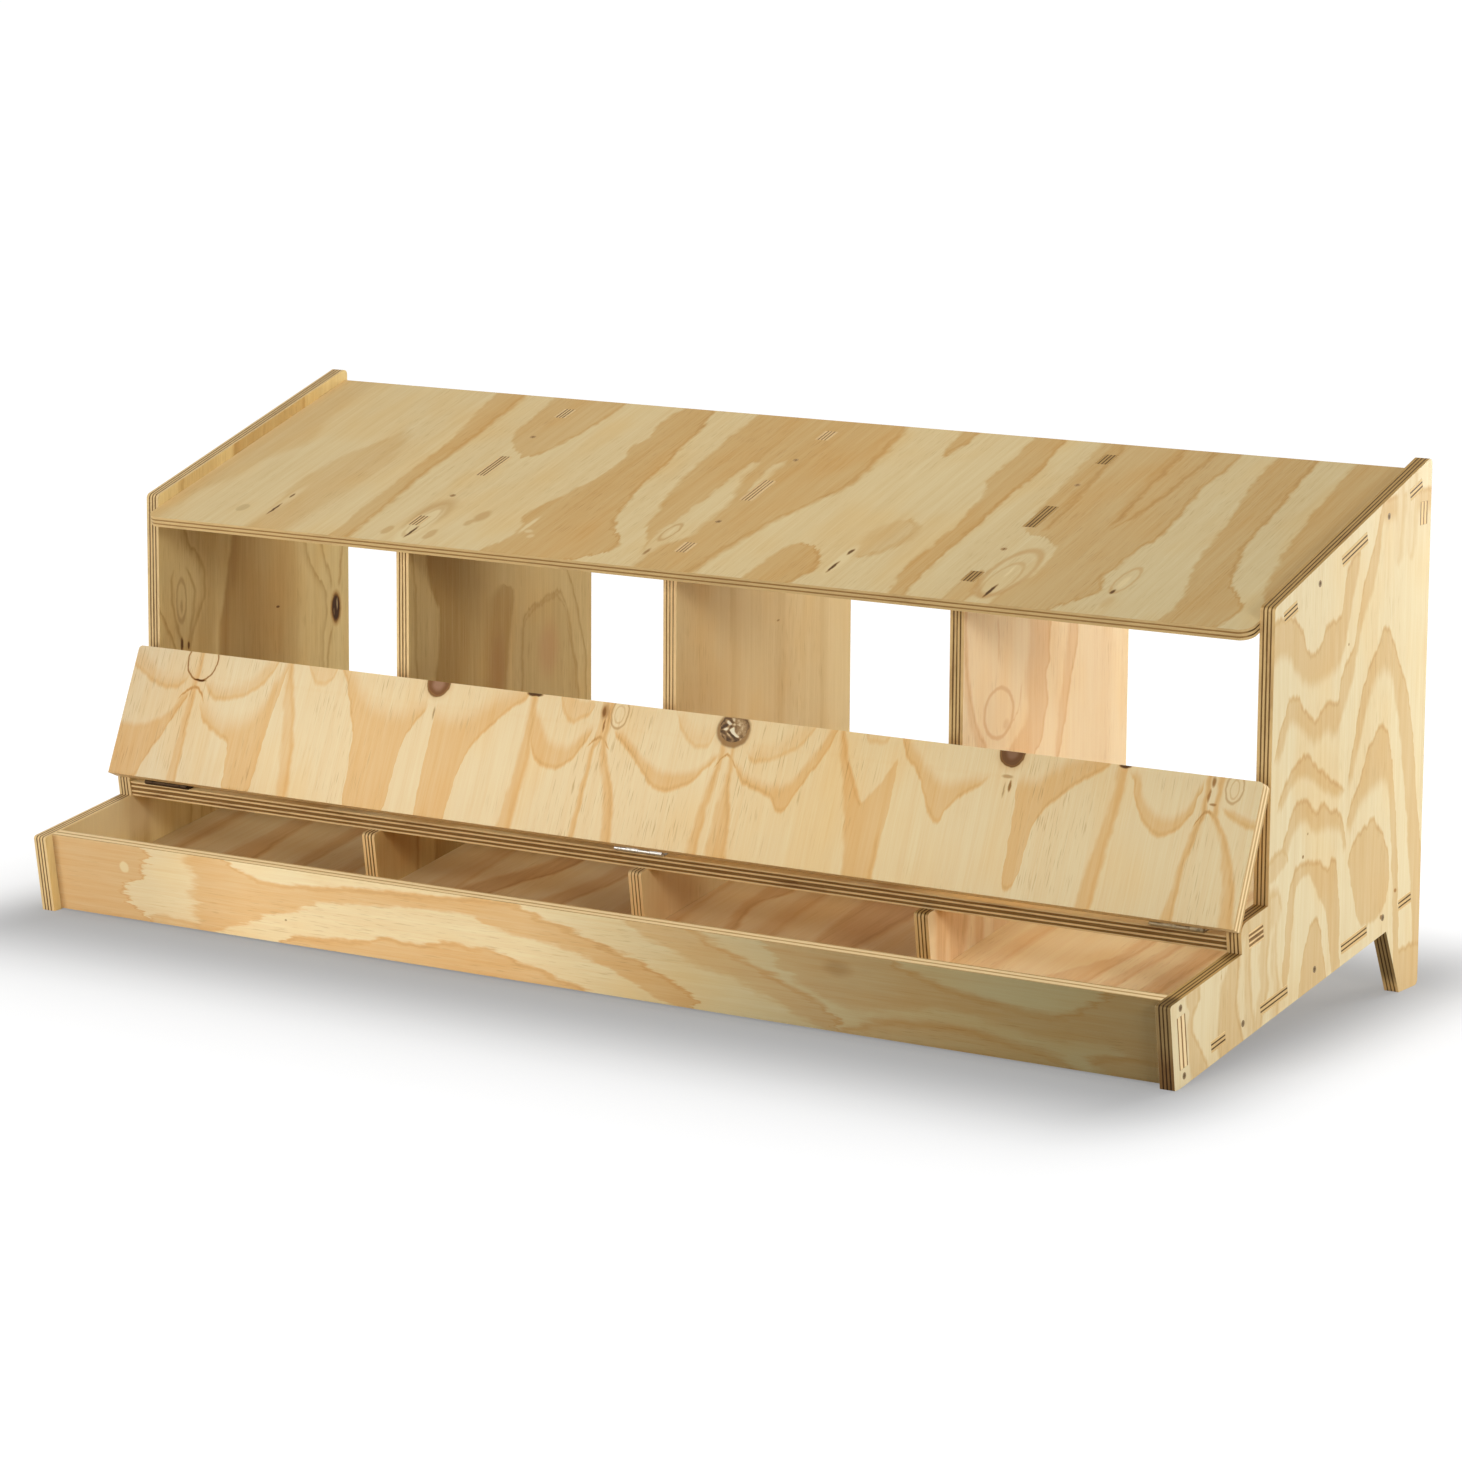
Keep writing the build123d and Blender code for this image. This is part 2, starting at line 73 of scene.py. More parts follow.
# Grain where none is placed: spacing of its lines in millimetres, how many lines the noise lifts it over,
# where a line grows and breaks off, and the step in the noise from one face to the other
WILD_PITCH = 160.0
WILD_LIFT = 7.0
WILD_GROWTH = (0.3, 0.92)
WILD_BREAK = (1.0, 0.95)
WILD_STEP = 3.7

# Faces: the step in the noise from one to the other, depths that part them, strength of patches and fibres
# in the tone, noise that warms and how much, noise that makes pores and the patches that hold them
FACE_STEP = 2.0
FACE_PARTING = (-0.5, 0.5)
PATCH_SHARE = 0.5
FIBRE_SHARE = 0.9
WARM_SPAN = (0.42, 0.72)
WARM_SHARE = 0.7
PORE_SPAN = (0.58, 0.72)
PORE_PATCHES = (0.42, 0.58)

# Feel of the wood: least roughness, what fibres add, relief of fibres and of late wood, bump and sheen
WOOD_ROUGH = 0.5
FIBRE_ROUGH = 0.2
FIBRE_RELIEF = 0.6
TAN_RELIEF = 0.15
WOOD_BUMP = (0.25, 0.0004)
WOOD_SHEEN = 0.1

# Cuts: depths below a face where one starts, waves of the layers and thickness of their lines in
# millimetres, blur between layers, reach of lines and specks, span from long to end grain, thickness and
# noise of blotches, and how far a cut has to face up or along the box to count as doing so
CUT_DEPTH = (0.04, 0.12)
WAVE_REACH = 0.6
LINE_THICK = 1.2
PLY_BLUR = 0.03
LINE_REACH = 0.8
SPECK_REACH = 0.4
END_SPAN = (-0.1, 1.1)
BLOTCH_THICK = 9.0
BLOTCH_SPAN = (0.5, 0.68)
UPWARD = (0.4, 0.8)
ALONG = (0.6, 0.9)

# Metals and bark: noise that stains, roughness that stains add and bump of the brushing; reach of the grit
# in the bark, and its roughness
STAIN_SPAN = (0.52, 0.75)
STAIN_ROUGH = 0.3
BRUSH_BUMP = (0.12, 0.0002)
GRIT_REACH = 0.7
BARK_ROUGH = 0.85

DARK_KNOT = (58, 40, 26)
HALO = (186, 147, 91)
PALE_WOOD = (219, 198, 150)
SEAM = (120, 90, 52)
SLIT = (62, 38, 16)
WARM_TINT = (255, 244, 226)
PORE_TINT = (196, 172, 134)
STAIN_TINT = (158, 120, 90)
BROWNED_TINT = (232, 196, 146)
BARK_STOPS = (
    (0.0, (52, 36, 22)),
    (0.25, (112, 82, 50)),
    (0.5, (168, 134, 90)),
    (0.68, (214, 192, 150)),
    (0.85, (236, 224, 194)),
)


class Way(Enum):
    """One of the two directions of a board's face."""

    U = 0
    V = 1


class Lay(Enum):
    """Which of a board's own axes are u and v of its face and the depth through it."""

    FLAT = (0, 1, 2)
    FACING = (0, 2, 1)
    UPRIGHT = (1, 2, 0)


class Blend(Enum):
    """How one colour is laid over another."""

    COVER = "MIX"
    SHADE = "MULTIPLY"


def linear(colour: Colour) -> tuple[float, float, float, float]:
    """Turns a colour as seen, from 0 to 255, into the light it stands for.

    Args:
        colour: red, green and blue as seen.

    Returns:
        Red, green, blue and a full alpha for a shader socket.
    """
    seen = np.asarray(colour, float) / FULL_VALUE
    curve = ((seen + CURVE_OFFSET) / (1.0 + CURVE_OFFSET)) ** CURVE_POWER
    light = np.where(seen <= FOOT_END, seen / FOOT_SLOPE, curve)
    return (*light.tolist(), 1.0)


class Wiring:
    """Adds and joins the shader nodes of one material."""

    def __init__(self, material: Union[bpy.types.Material, bpy.types.World]) -> None:
        """Starts with an empty tree.

        Args:
            material: the material or world whose nodes these are.
        """
        material.use_nodes = True
        self.tree = material.node_tree
        self.tree.nodes.clear()

    def feed(self, socket: Socket, value: Feed) -> None:
        """Links another node's output to a socket, or sets the socket's own value.

        Args:
            socket: input of a node.
            value: output of another node, a value, or none to leave the socket as it is.
        """
        if isinstance(value, bpy.types.NodeSocket):
            self.tree.links.new(value, socket)
        elif value is not None:
            socket.default_value = value

    def add(self, kind: str, *feeds: Feed, **settings: Any) -> bpy.types.Node:
        """Adds a node.

        Args:
            kind: the node's type, without its common prefix.
            feeds: values or links for its first inputs, in order.
            settings: options of the node.

        Returns:
            The new node.
        """
        node = self.tree.nodes.new("ShaderNode" + kind)
        for name, value in settings.items():
            setattr(node, name, value)
        for socket, value in zip(node.inputs, feeds):
            self.feed(socket, value)
        return node

    def math(self, operation: str, one: Feed, other: Feed = None, third: Feed = None) -> Socket:
        """Works out one arithmetic step and returns its result."""
        return self.add("Math", one, other, third, operation=operation).outputs[0]

    def times(self, one: Feed, other: Feed) -> Socket:
        """Multiplies two numbers."""
        return self.math("MULTIPLY", one, other)

    def sway(self, value: Feed, noise: Socket, reach: float) -> Socket:
        """Moves a number by noise, half of the reach to either side."""
        return self.math("ADD", value, self.math("MULTIPLY_ADD", noise, reach, -reach / 2))

    def mottle(self, value: Feed, noise: Socket, share: float) -> Socket:
        """Adds a share of noise, taken about its middle, to a number."""
        return self.math("MULTIPLY_ADD", self.math("SUBTRACT", noise, 0.5), share, value)

    def fade(self, value: Feed, low: float, high: float) -> Socket:
        """Rises smoothly from 0 at low to 1 at high, or falls where low is above high."""
        return self.add("MapRange", value, low, high, 0.0, 1.0, interpolation_type="SMOOTHSTEP").outputs[0]

    def vector(self, x: Feed, y: Feed, z: Feed) -> Socket:
        """Joins three numbers into a vector."""
        return self.add("CombineXYZ", x, y, z).outputs[0]

    def vectors(self, operation: str, one: Feed, other: Feed = None) -> Socket:
        """Works out one step with vectors and returns its vector."""
        return self.add("VectorMath", one, other, operation=operation).outputs[0]

    def length(self, vector: Feed) -> Socket:
        """Works out how long a vector is."""
        return self.add("VectorMath", vector, operation="LENGTH").outputs[1]

    def between(self, factor: Feed, one: Feed, other: Feed) -> Socket:
        """Mixes two numbers.

        Args:
            factor: 0 for the first number, 1 for the other.
            one: first number.
            other: other number.

        Returns:
            The mixed number.
        """
        node = self.add("Mix", factor, data_type="FLOAT")
        self.feed(node.inputs[2], one)
        self.feed(node.inputs[3], other)
        return node.outputs[0]

    def coat(self, factor: Feed, under: Feed, over: Feed, way: Blend = Blend.COVER) -> Socket:
        """Lays one colour over another.

        Args:
            factor: how fully the upper colour covers.
            under: lower colour.
            over: upper colour.
            way: how the two are blended.

        Returns:
            The blended colour.
        """
        node = self.add("Mix", factor, data_type="RGBA", blend_type=way.value)
        self.feed(node.inputs[6], under)
        self.feed(node.inputs[7], over)
        return node.outputs[2]

    def noise(self, place: Socket, detail: float, roughness: float) -> bpy.types.Node:
        """Adds soft noise about one unit coarse at the given place."""
        return self.add("TexNoise", place, None, 1.0, detail, roughness)

    def curve(self, value: Feed, points: list[tuple[float, float]]) -> Socket:
        """Looks a number up on a smooth curve.

        Args:
            value: place along the curve.
            points: (place, number) pairs that the curve runs through, in order.

        Returns:
            The number at that place, level beyond the ends.
        """
        node = self.add("FloatCurve", 1.0, value)
        mapping = node.mapping
        mapping.use_clip = False
        mapping.extend = "HORIZONTAL"
        line = mapping.curves[0].points
        line[0].location = points[0]
        line[1].location = points[-1]
        for point in points[1:-1]:
            line.new(*point)
        for point in line:
            point.handle_type = "AUTO_CLAMPED"
        mapping.update()
        return node.outputs[0]

    def ramp(self, value: Feed, stops: Sequence[tuple[float, Colour]]) -> Socket:
        """Looks a colour up on a ramp.

        Args:
            value: place along the ramp.
            stops: (place, colour as seen) pairs, in order.

        Returns:
            The colour at that place.
        """
        node = self.add("ValToRGB", value)
        elements = node.color_ramp.elements
        while len(elements) < len(stops):
            elements.new(0.5)
        for element, (place, colour) in zip(elements, stops):
            element.position = place
            element.color = linear(colour)
        return node.outputs[0]

    def bump(self, strength: float, distance: float, height: Socket) -> Socket:
        """Turns heights into a normal."""
        return self.add("Bump", strength, distance, None, height).outputs["Normal"]

    def surface(self, looks: dict[str, Feed]) -> None:
        """Ends the tree in a plain surface.

        Args:
            looks: values or links for the shader's inputs, by their names.
        """
        shader = self.add("BsdfPrincipled")
        for name, value in looks.items():
            self.feed(shader.inputs[name], value)
        self.add("OutputMaterial", shader.outputs[0])


@dataclass(frozen=True)
class Texture:
    """Noise drawn out over a board's face.

    Attributes:
        first: size of its features along the first direction, in millimetres.
        second: size along the second direction.
        detail: finer layers of noise.
        rough: strength of the finer layers.
        key: number that tells it from the board's other noise.
    """

    first: float
    second: float
    detail: float = 2.0
    rough: float = 0.5
    key: float = 0.0

    def lay(self, wiring: Wiring, first: Socket, second: Socket, third: Feed) -> bpy.types.Node:
        """Adds the noise.

        Args:
            wiring: the material's nodes.
            first: place along the first direction.
            second: place along the second direction.
            third: place through the noise, from which alike faces differ.

        Returns:
            The noise, about 0.5.
        """
        one = wiring.times(first, 1 / self.first)
        other = wiring.times(second, 1 / self.second)
        return wiring.noise(wiring.vector(one, other, third), self.detail, self.rough)


@dataclass(frozen=True)
class Speckle:
    """Noise through a solid piece.

    Attributes:
        scale: features to a metre along each axis.
        detail: finer layers of noise.
        rough: strength of the finer layers.
    """

    scale: tuple[float, float, float]
    detail: float
    rough: float

    def lay(self, wiring: Wiring) -> Socket:
        """Adds the noise at each point of the piece and returns it, about 0.5."""
        place = wiring.vectors("MULTIPLY", wiring.add("TexCoord").outputs["Object"], self.scale)
        return wiring.noise(place, self.detail, self.rough).outputs[0]


# Noise of the faces, across the grain and along it
WILD_GRAIN = Texture(75.0, 420.0, 1.5, 0.4)
FINGERS = Texture(6.0, 50.0, 4.0, 0.65)
RIPPLES = Texture(11.0, 18.0, 2.0, 0.55, 5.0)
PATCHES = Texture(90.0, 260.0, 3.0, 0.6, 1.0)
FIBRES = Texture(1.3, 60.0, 4.0, 0.6, 2.0)
DASHES = Texture(1.2, 24.0, 1.0, 0.6, 3.0)
STREAKS = Texture(7.0, 320.0, 3.0, 0.6, 4.0)
WARMTH = Texture(70.0, 160.0, 2.0, 0.6, 5.0)

# Noise along u and v: shake of marks, then waves, lines, specks and blotches of the cut layers
SHAKE = Texture(8.0, 8.0, key=7.0)
WAVES = Texture(40.0, 40.0)
LINES = Texture(45.0, 45.0, 2.0, 0.6)
SPECKS = Texture(4.0, 4.0, 2.0, 0.6)
BLOTCHES = Texture(60.0, 60.0, 3.0, 0.6)

# Noise of metals and bark
STAINS = Speckle((260.0, 260.0, 260.0), 4.0, 0.6)
BRUSHING = Speckle((90.0, 1800.0, 1800.0), 2.0, 0.5)
GRIT = Speckle((420.0, 420.0, 420.0), 4.0, 0.65)


@dataclass(frozen=True)
class Band:
    """Stretch of veneer of another tone between two curved edges.

    Attributes:
        rows: place along the run, near edge and far edge in millimetres; alike edges are a tip.
        tone: 0 for pale early wood, 1 for tan late wood.
        near: half width over which the near edge fades.
        far: half width over which the far edge fades.
        run: direction in which the rows follow one another.
        ends: half width over which the first and the last row fade out, or 0 where they run off the board.
        rim: how much the tone grows at the far edge, in a line.
    """

    rows: tuple[Row, ...]
    tone: float = 1.0
    near: float = 2.5
    far: float = 2.5
    run: Way = Way.U
    ends: float = 0.0
    rim: float = 0.35

    def lay(self, wiring: Wiring, u: Socket, v: Socket, tone: Feed) -> Socket:
        """Lays the band over the tone below it.

        Args:
            wiring: the material's nodes.
            u: first face coordinate.
            v: second face coordinate.
            tone: tone below the band.

        Returns:
            Tone with the band on it, darkest along the far edge.
        """
        along, across = (u, v) if self.run is Way.U else (v, u)
        rows = sorted(self.rows)
        tips = [low == high for _, low, high in rows]
        low_edge = [(at, low + self.near * tip) for (at, low, _), tip in zip(rows, tips)]
        high_edge = [(at, high - self.far * tip) for (at, _, high), tip in zip(rows, tips)]
        over = wiring.math("SUBTRACT", across, wiring.curve(along, low_edge))
        under = wiring.math("SUBTRACT", wiring.curve(along, high_edge), across)
        inside = wiring.fade(over, -self.near, self.near)
        if self.ends:
            first, last = rows[0][0], rows[-1][0]
            inside = wiring.times(inside, wiring.fade(along, first - self.ends, first + self.ends))
            inside = wiring.times(inside, wiring.fade(along, last + self.ends, last - self.ends))
        line = wiring.times(wiring.fade(under, RIM_WIDTH + self.far, self.far), self.rim)
        inked = wiring.math("ADD", line, self.tone)
        return wiring.between(wiring.times(inside, wiring.fade(under, -self.far, self.far)), tone, inked)


@dataclass(frozen=True)
class Spot:
    """Oval mark on a face, such as a knot, a slit or a ring.

    Attributes:
        at: middle in face coordinates.
        half: half sizes along u and v.
        colour: colour as seen.
        strength: how fully it covers the veneer.
        edge: share of the half size over which it fades.
        ring: width of a ring as a share of the half size, or 0 for a filled oval.
        way: how it is laid over the colour below it.
    """

    at: tuple[float, float]
    half: tuple[float, float]
    colour: Colour
    strength: float = 1.0
    edge: float = 0.25
    ring: float = 0.0
    way: Blend = Blend.COVER

    def lay(self, wiring: Wiring, u: Socket, v: Socket, under: Socket) -> Socket:
        """Lays the mark over a colour.

        Args:
            wiring: the material's nodes.
            u: first face coordinate.
            v: second face coordinate.
            under: colour below the mark.

        Returns:
            The colour with the mark on it.
        """
        shifted = [wiring.math("SUBTRACT", place, middle) for place, middle in zip((u, v), self.at)]
        shrunk = (1 / self.half[0], 1 / self.half[1], 0.0)
        reach = wiring.length(wiring.vectors("MULTIPLY", wiring.vector(*shifted, 0.0), shrunk))
        if self.ring:
            reach = wiring.math("ABSOLUTE", wiring.math("SUBTRACT", reach, 1.0))
            inside = wiring.fade(reach, self.ring, self.ring * (1 - self.edge) * RING_CORE)
        else:
            inside = wiring.fade(reach, 1.0, 1.0 - self.edge)
        if sum(self.colour) < DARK_MARK:
            browned = wiring.times(wiring.math("POWER", inside, BROWN_SPREAD), self.strength)
            under = wiring.coat(browned, under, linear(BROWNED_TINT), Blend.SHADE)
        return wiring.coat(wiring.times(inside, self.strength), under, linear(self.colour), self.way)


@dataclass(frozen=True)
class Figure:
    """Listed grain of a shown face.

    Attributes:
        bands: stretches of other tones, each over the ones before it.
        spots: marks over the bands.
        base: tone below them all.
    """

    bands: tuple[Band, ...] = ()
    spots: tuple[Spot, ...] = ()
    base: float = 0.1


@dataclass(frozen=True)
class Veneer:
    """Colours of a face veneer, as seen in even light; on some boards they also hold painted light and
    shade.

    Attributes:
        pale: early wood.
        tan: late wood.
        shift: (place along u, colour) stops that tint the veneer along the board; on the floor and the front
            board the tint is partly painted shade.
        seed: place of the board's own noise.
    """

    pale: Colour = (242, 220, 170)
    tan: Colour = (221, 184, 122)
    shift: tuple[tuple[float, Colour], ...] = ()
    seed: float = 0.0

    def stops(self) -> list[tuple[float, Colour]]:
        """Ramp from early wood over late wood to the dark lines at its edges."""
        deep = tuple(part * kept for part, kept in zip(self.tan, DEEP_SHARE))
        return [(0.0, self.pale), (TAN_PLACE, self.tan), (1.0, deep)]


@dataclass(frozen=True)
class Plies:
    """Layers seen on an edge, from the middle of the board outwards.

    Attributes:
        dark: end grain.
        light: long grain.
        cuts: places where the layers change, as shares of the half thickness; the first layer is dark.
        stain: strength of the brown blotches.
        top: painted shade on the cuts that face up, such as tenons, or none.
        flank: end grain of the cuts that face along the box, such as tabs, or none.
    """

    dark: Colour = (108, 80, 42)
    light: Colour = (204, 172, 118)
    cuts: tuple[float, ...] = (0.10, 0.40, 0.60)
    stain: float = 0.15
    top: Optional[Colour] = None
    flank: Optional[Colour] = None


@dataclass(frozen=True)
class Board:
    """One plywood board and how it is cut.

    Attributes:
        node: name of the board.
        lay: its own axes as face coordinates.
        grain: direction of the face grain.
        thick: thickness in millimetres.
        tilt: slope of the board in degrees, about the box's length.
        datum: face coordinates of the middle of the board, or none where they are those of the box.
        shown: sign of the depth of the face that carries the figure.
        figure: listed grain of that face.
        veneer: colours.
        plies: layers on its edges.
        edge_darkening: darker patches on its edges.
        fray: reach of the fingers at the ends of bands, along the grain.
        ripple: reach of the small waves of bands, across the grain.
        streaks: strength of the long streaks.
        pores: strength of the short dark dashes.
    """

    node: str
    lay: Lay
    grain: Way
    thick: float = 14.0
    tilt: float = 0.0
    datum: Optional[tuple[float, float]] = None
    shown: int = 1
    figure: Figure = Figure()
    veneer: Veneer = Veneer()
    plies: Plies = Plies()
    edge_darkening: tuple[Spot, ...] = ()
    fray: float = 14.0
    ripple: float = 6.0
    streaks: float = 0.9
    pores: float = 0.3

    def centre(self) -> Vector:
        """Finds the middle of the board's box, in metres."""
        low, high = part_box(self.node)
        return (low + high) / 2

    def middle(self) -> tuple[float, float]:
        """Finds the middle of the board.

        Returns:
            Its face coordinates, in millimetres.
        """
        if self.datum:
            return self.datum
        centre = self.centre() / MM
        return centre[self.lay.value[0]], centre[self.lay.value[1]]

    def places(self, wiring: Wiring) -> tuple[Socket, Socket, Socket]:
        """Works out the face coordinates and the depth, in millimetres from the middle of the board.

        Args:
            wiring: the material's nodes.

        Returns:
            u and v on the face, and the depth, positive towards the figured face.
        """
        own = wiring.add(
            "Mapping",
            wiring.add("TexCoord").outputs["Object"],
            self.centre(),
            (math.radians(self.tilt), 0.0, 0.0),
            (MM, MM, MM),
            vector_type="TEXTURE",
        )
        axes = wiring.add("SeparateXYZ", own.outputs[0]).outputs
        first, second, third = self.lay.value
        middle = self.middle()
        u = wiring.math("ADD", axes[first], middle[0])
        v = wiring.math("ADD", axes[second], middle[1])
        return u, v, wiring.times(axes[third], float(self.shown))

    def points(self, u: np.ndarray, v: np.ndarray, height: np.ndarray) -> np.ndarray:
        """Places points on the figured face.

        Args:
            u: first face coordinates, in millimetres.
            v: second face coordinates.
            height: heights above the face.

        Returns:
            Points in the frame of the box, in metres.
        """
        own = np.zeros((len(u), 3))
        first, second, third = self.lay.value
        middle = self.middle()
        own[:, first] = u - middle[0]
        own[:, second] = v - middle[1]
        own[:, third] = self.shown * (self.thick / 2 + height)
        turn = np.array(Matrix.Rotation(math.radians(self.tilt), 3, "X"))
        return own @ turn.T * MM + np.array(self.centre())

    def turned(self, one: Socket, other: Socket) -> tuple[Socket, Socket]:
        """Swaps u and v for the places across and along the grain, or those for u and v."""
        return (other, one) if self.grain is Way.U else (one, other)

    def spread(self, wiring: Wiring, texture: Texture, one: Socket, other: Socket) -> bpy.types.Node:
        """Adds noise that is the same on both faces of the board."""
        return texture.lay(wiring, one, other, self.veneer.seed + texture.key)

    def strands(self, wiring: Wiring, texture: Texture, coords: tuple[Socket, Socket, Socket]) -> Socket:
        """Adds noise drawn out along the grain, different on the two faces.

        Args:
            wiring: the material's nodes.
            texture: the noise.
            coords: place across the grain, along it, and which face.

        Returns:
            Noise about 0.5.
        """
        across, along, side = coords
        step = wiring.math("MULTIPLY_ADD", side, FACE_STEP, self.veneer.seed + texture.key)
        return texture.lay(wiring, across, along, step).outputs[0]

    def wild_tone(self, wiring: Wiring, across: Socket, along: Socket, side: Socket) -> Socket:
        """Grain where none is placed: height lines of noise that is drawn out along the grain.

        Args:
            wiring: the material's nodes.
            across: place across the grain.
            along: place along the grain.
            side: which face, so that the two differ.

        Returns:
            Tone from 0, pale, to 1, tan.
        """
        step = wiring.math("MULTIPLY_ADD", side, WILD_STEP, self.veneer.seed)
        hills = WILD_GRAIN.lay(wiring, across, along, step).outputs[0]
        height = wiring.math("MULTIPLY_ADD", across, 1 / WILD_PITCH, wiring.times(hills, WILD_LIFT))
        phase = wiring.math("FRACT", height)
        return wiring.times(wiring.fade(phase, *WILD_GROWTH), wiring.fade(phase, *WILD_BREAK))

    def frayed(self, wiring: Wiring, u: Socket, v: Socket) -> tuple[Socket, Socket]:
        """Shifts the face coordinates by noise, so that placed edges wander and end in fingers.

        Args:
            wiring: the material's nodes.
            u: first face coordinate.
            v: second face coordinate.

        Returns:
            The shifted coordinates.
        """
        across, along = self.turned(u, v)
        finger = self.spread(wiring, FINGERS, across, along).outputs[0]
        ripple = self.spread(wiring, RIPPLES, across, along).outputs[0]
        return self.turned(wiring.sway(across, ripple, self.ripple), wiring.sway(along, finger, self.fray))

    def placed_tone(self, wiring: Wiring, u: Socket, v: Socket) -> Socket:
        """Lays the listed bands over one another.

        Args:
            wiring: the material's nodes.
            u: first face coordinate.
            v: second face coordinate.

        Returns:
            Tone from 0, pale, to 1, tan.
        """
        soft_u, soft_v = self.frayed(wiring, u, v)
        tone: Feed = self.figure.base
        for stretch in self.figure.bands:
            tone = stretch.lay(wiring, soft_u, soft_v, tone)
        return tone

    def tinted(self, wiring: Wiring, u: Socket, under: Socket) -> Socket:
        """Tints the veneer along the board; on the floor and the front board the tint is partly painted
        shade.

        Args:
            wiring: the material's nodes.
            u: place along the board.
            under: colour of the veneer.

        Returns:
            The tinted colour.
        """
        if not self.veneer.shift:
            return under
        first = self.veneer.shift[0][0]
        span = self.veneer.shift[-1][0] - first
        stops = [((place - first) / span, tint) for place, tint in self.veneer.shift]
        share = wiring.math("MULTIPLY_ADD", u, 1 / span, -first / span)
        return wiring.coat(1.0, under, wiring.ramp(share, stops), Blend.SHADE)

    def marked(self, wiring: Wiring, coords: tuple[Socket, Socket, Socket], under: Socket) -> Socket:
        """Lays the marks over the figured face, with shaky outlines.

        Args:
            wiring: the material's nodes.
            coords: u, v and which face.
            under: colour of the veneer.

        Returns:
            The colour with the marks on it.
        """
        if not self.figure.spots:
            return under
        u, v, side = coords
        shake = self.spread(wiring, SHAKE, u, v).outputs["Color"]
        shift = wiring.add("SeparateColor", shake).outputs
        shaken = [wiring.sway(place, part, WOBBLE) for place, part in zip((u, v), shift)]
        for spot in self.figure.spots:
            under = wiring.coat(side, under, spot.lay(wiring, *shaken, under))
        return under

    def layers(self, wiring: Wiring, coords: tuple[Socket, Socket, Socket]) -> Socket:
        """Works out which layer shows at a place on a cut, with its lines and specks.

        Args:
            wiring: the material's nodes.
            coords: u, v and depth.

        Returns:
            About 0 in layers of long grain and about 1 in layers of end grain.
        """
        u, v, depth = coords
        wave = self.spread(wiring, WAVES, u, v).outputs[0]
        waved = wiring.sway(wiring.math("ABSOLUTE", depth), wave, WAVE_REACH)
        share = wiring.times(waved, 2 / self.thick)
        dark: Feed = 1.0
        for number, place in enumerate(self.plies.cuts):
            past = wiring.fade(share, place - PLY_BLUR, place + PLY_BLUR)
            dark = wiring.between(past, dark, float(number % 2))
        thin = wiring.times(depth, 1 / LINE_THICK)
        for texture, reach in ((LINES, LINE_REACH), (SPECKS, SPECK_REACH)):
            dark = wiring.sway(dark, texture.lay(wiring, u, v, thin).outputs[0], reach)
        return dark

    def edge_colour(self, wiring: Wiring, coords: tuple[Socket, Socket, Socket]) -> Socket:
        """Works out the colour where the board is cut.

        Args:
            wiring: the material's nodes.
            coords: u, v and depth.

        Returns:
            Colour of the layers, with blotches, marks, and painted shade on the cuts that face up.
        """
        u, v, depth = coords
        facing = wiring.add("SeparateXYZ", wiring.add("NewGeometry").outputs["Normal"]).outputs
        grain: Feed = linear(self.plies.dark)
        if self.plies.flank:
            ended = wiring.fade(wiring.math("ABSOLUTE", facing[0]), *ALONG)
            grain = wiring.coat(ended, grain, linear(self.plies.flank))
        dark = wiring.fade(self.layers(wiring, coords), *END_SPAN)
        colour = wiring.coat(dark, linear(self.plies.light), grain)
        thick = wiring.math("MULTIPLY_ADD", depth, 1 / BLOTCH_THICK, self.veneer.seed)
        blotch = wiring.fade(BLOTCHES.lay(wiring, u, v, thick).outputs[0], *BLOTCH_SPAN)
        colour = wiring.coat(wiring.times(blotch, self.plies.stain), colour, linear(STAIN_TINT), Blend.SHADE)
        # Cuts that face up are darkened by the top colour as painted shade
        if self.plies.top:
            painted_shade_up = wiring.fade(facing[2], *UPWARD)
            colour = wiring.coat(painted_shade_up, colour, linear(self.plies.top), Blend.SHADE)
        for mark in self.edge_darkening:
            colour = mark.lay(wiring, u, v, colour)
        return colour

    def finish(self) -> bpy.types.Material:
        """Makes the board's material.

        Returns:
            Plywood with its own grain, fibres, marks and layered edges.
        """
        material = bpy.data.materials.new(f"plywood_{self.node}")
        wiring = Wiring(material)
        u, v, depth = self.places(wiring)
        across, along = self.turned(u, v)
        side = wiring.fade(depth, *FACE_PARTING)
        tone = self.wild_tone(wiring, across, along, side)
        if self.figure.bands:
            tone = wiring.between(side, tone, self.placed_tone(wiring, u, v))
        patch, fibre, dash, long_streak, warmth = (
            self.strands(wiring, texture, (across, along, side))
            for texture in (PATCHES, FIBRES, DASHES, STREAKS, WARMTH)
        )
        mottled = wiring.mottle(tone, patch, PATCH_SHARE)
        mottled = wiring.mottle(mottled, long_streak, self.streaks)
        mottled = wiring.mottle(mottled, fibre, FIBRE_SHARE)
        colour = wiring.ramp(wiring.add("MapRange", mottled, *TONE_SPAN).outputs[0], self.veneer.stops())
        blush = wiring.times(wiring.fade(warmth, *WARM_SPAN), WARM_SHARE)
        colour = wiring.coat(blush, colour, linear(WARM_TINT), Blend.SHADE)
        colour = self.tinted(wiring, u, colour)
        pores = wiring.times(wiring.fade(dash, *PORE_SPAN), wiring.fade(patch, *PORE_PATCHES))
        colour = wiring.coat(wiring.times(pores, self.pores), colour, linear(PORE_TINT), Blend.SHADE)
        colour = self.marked(wiring, (u, v, side), colour)
        face = self.thick / 2
        cut = wiring.fade(wiring.math("ABSOLUTE", depth), face - CUT_DEPTH[0], face - CUT_DEPTH[1])
        relief = wiring.math("MULTIPLY_ADD", fibre, FIBRE_RELIEF, wiring.times(tone, TAN_RELIEF))
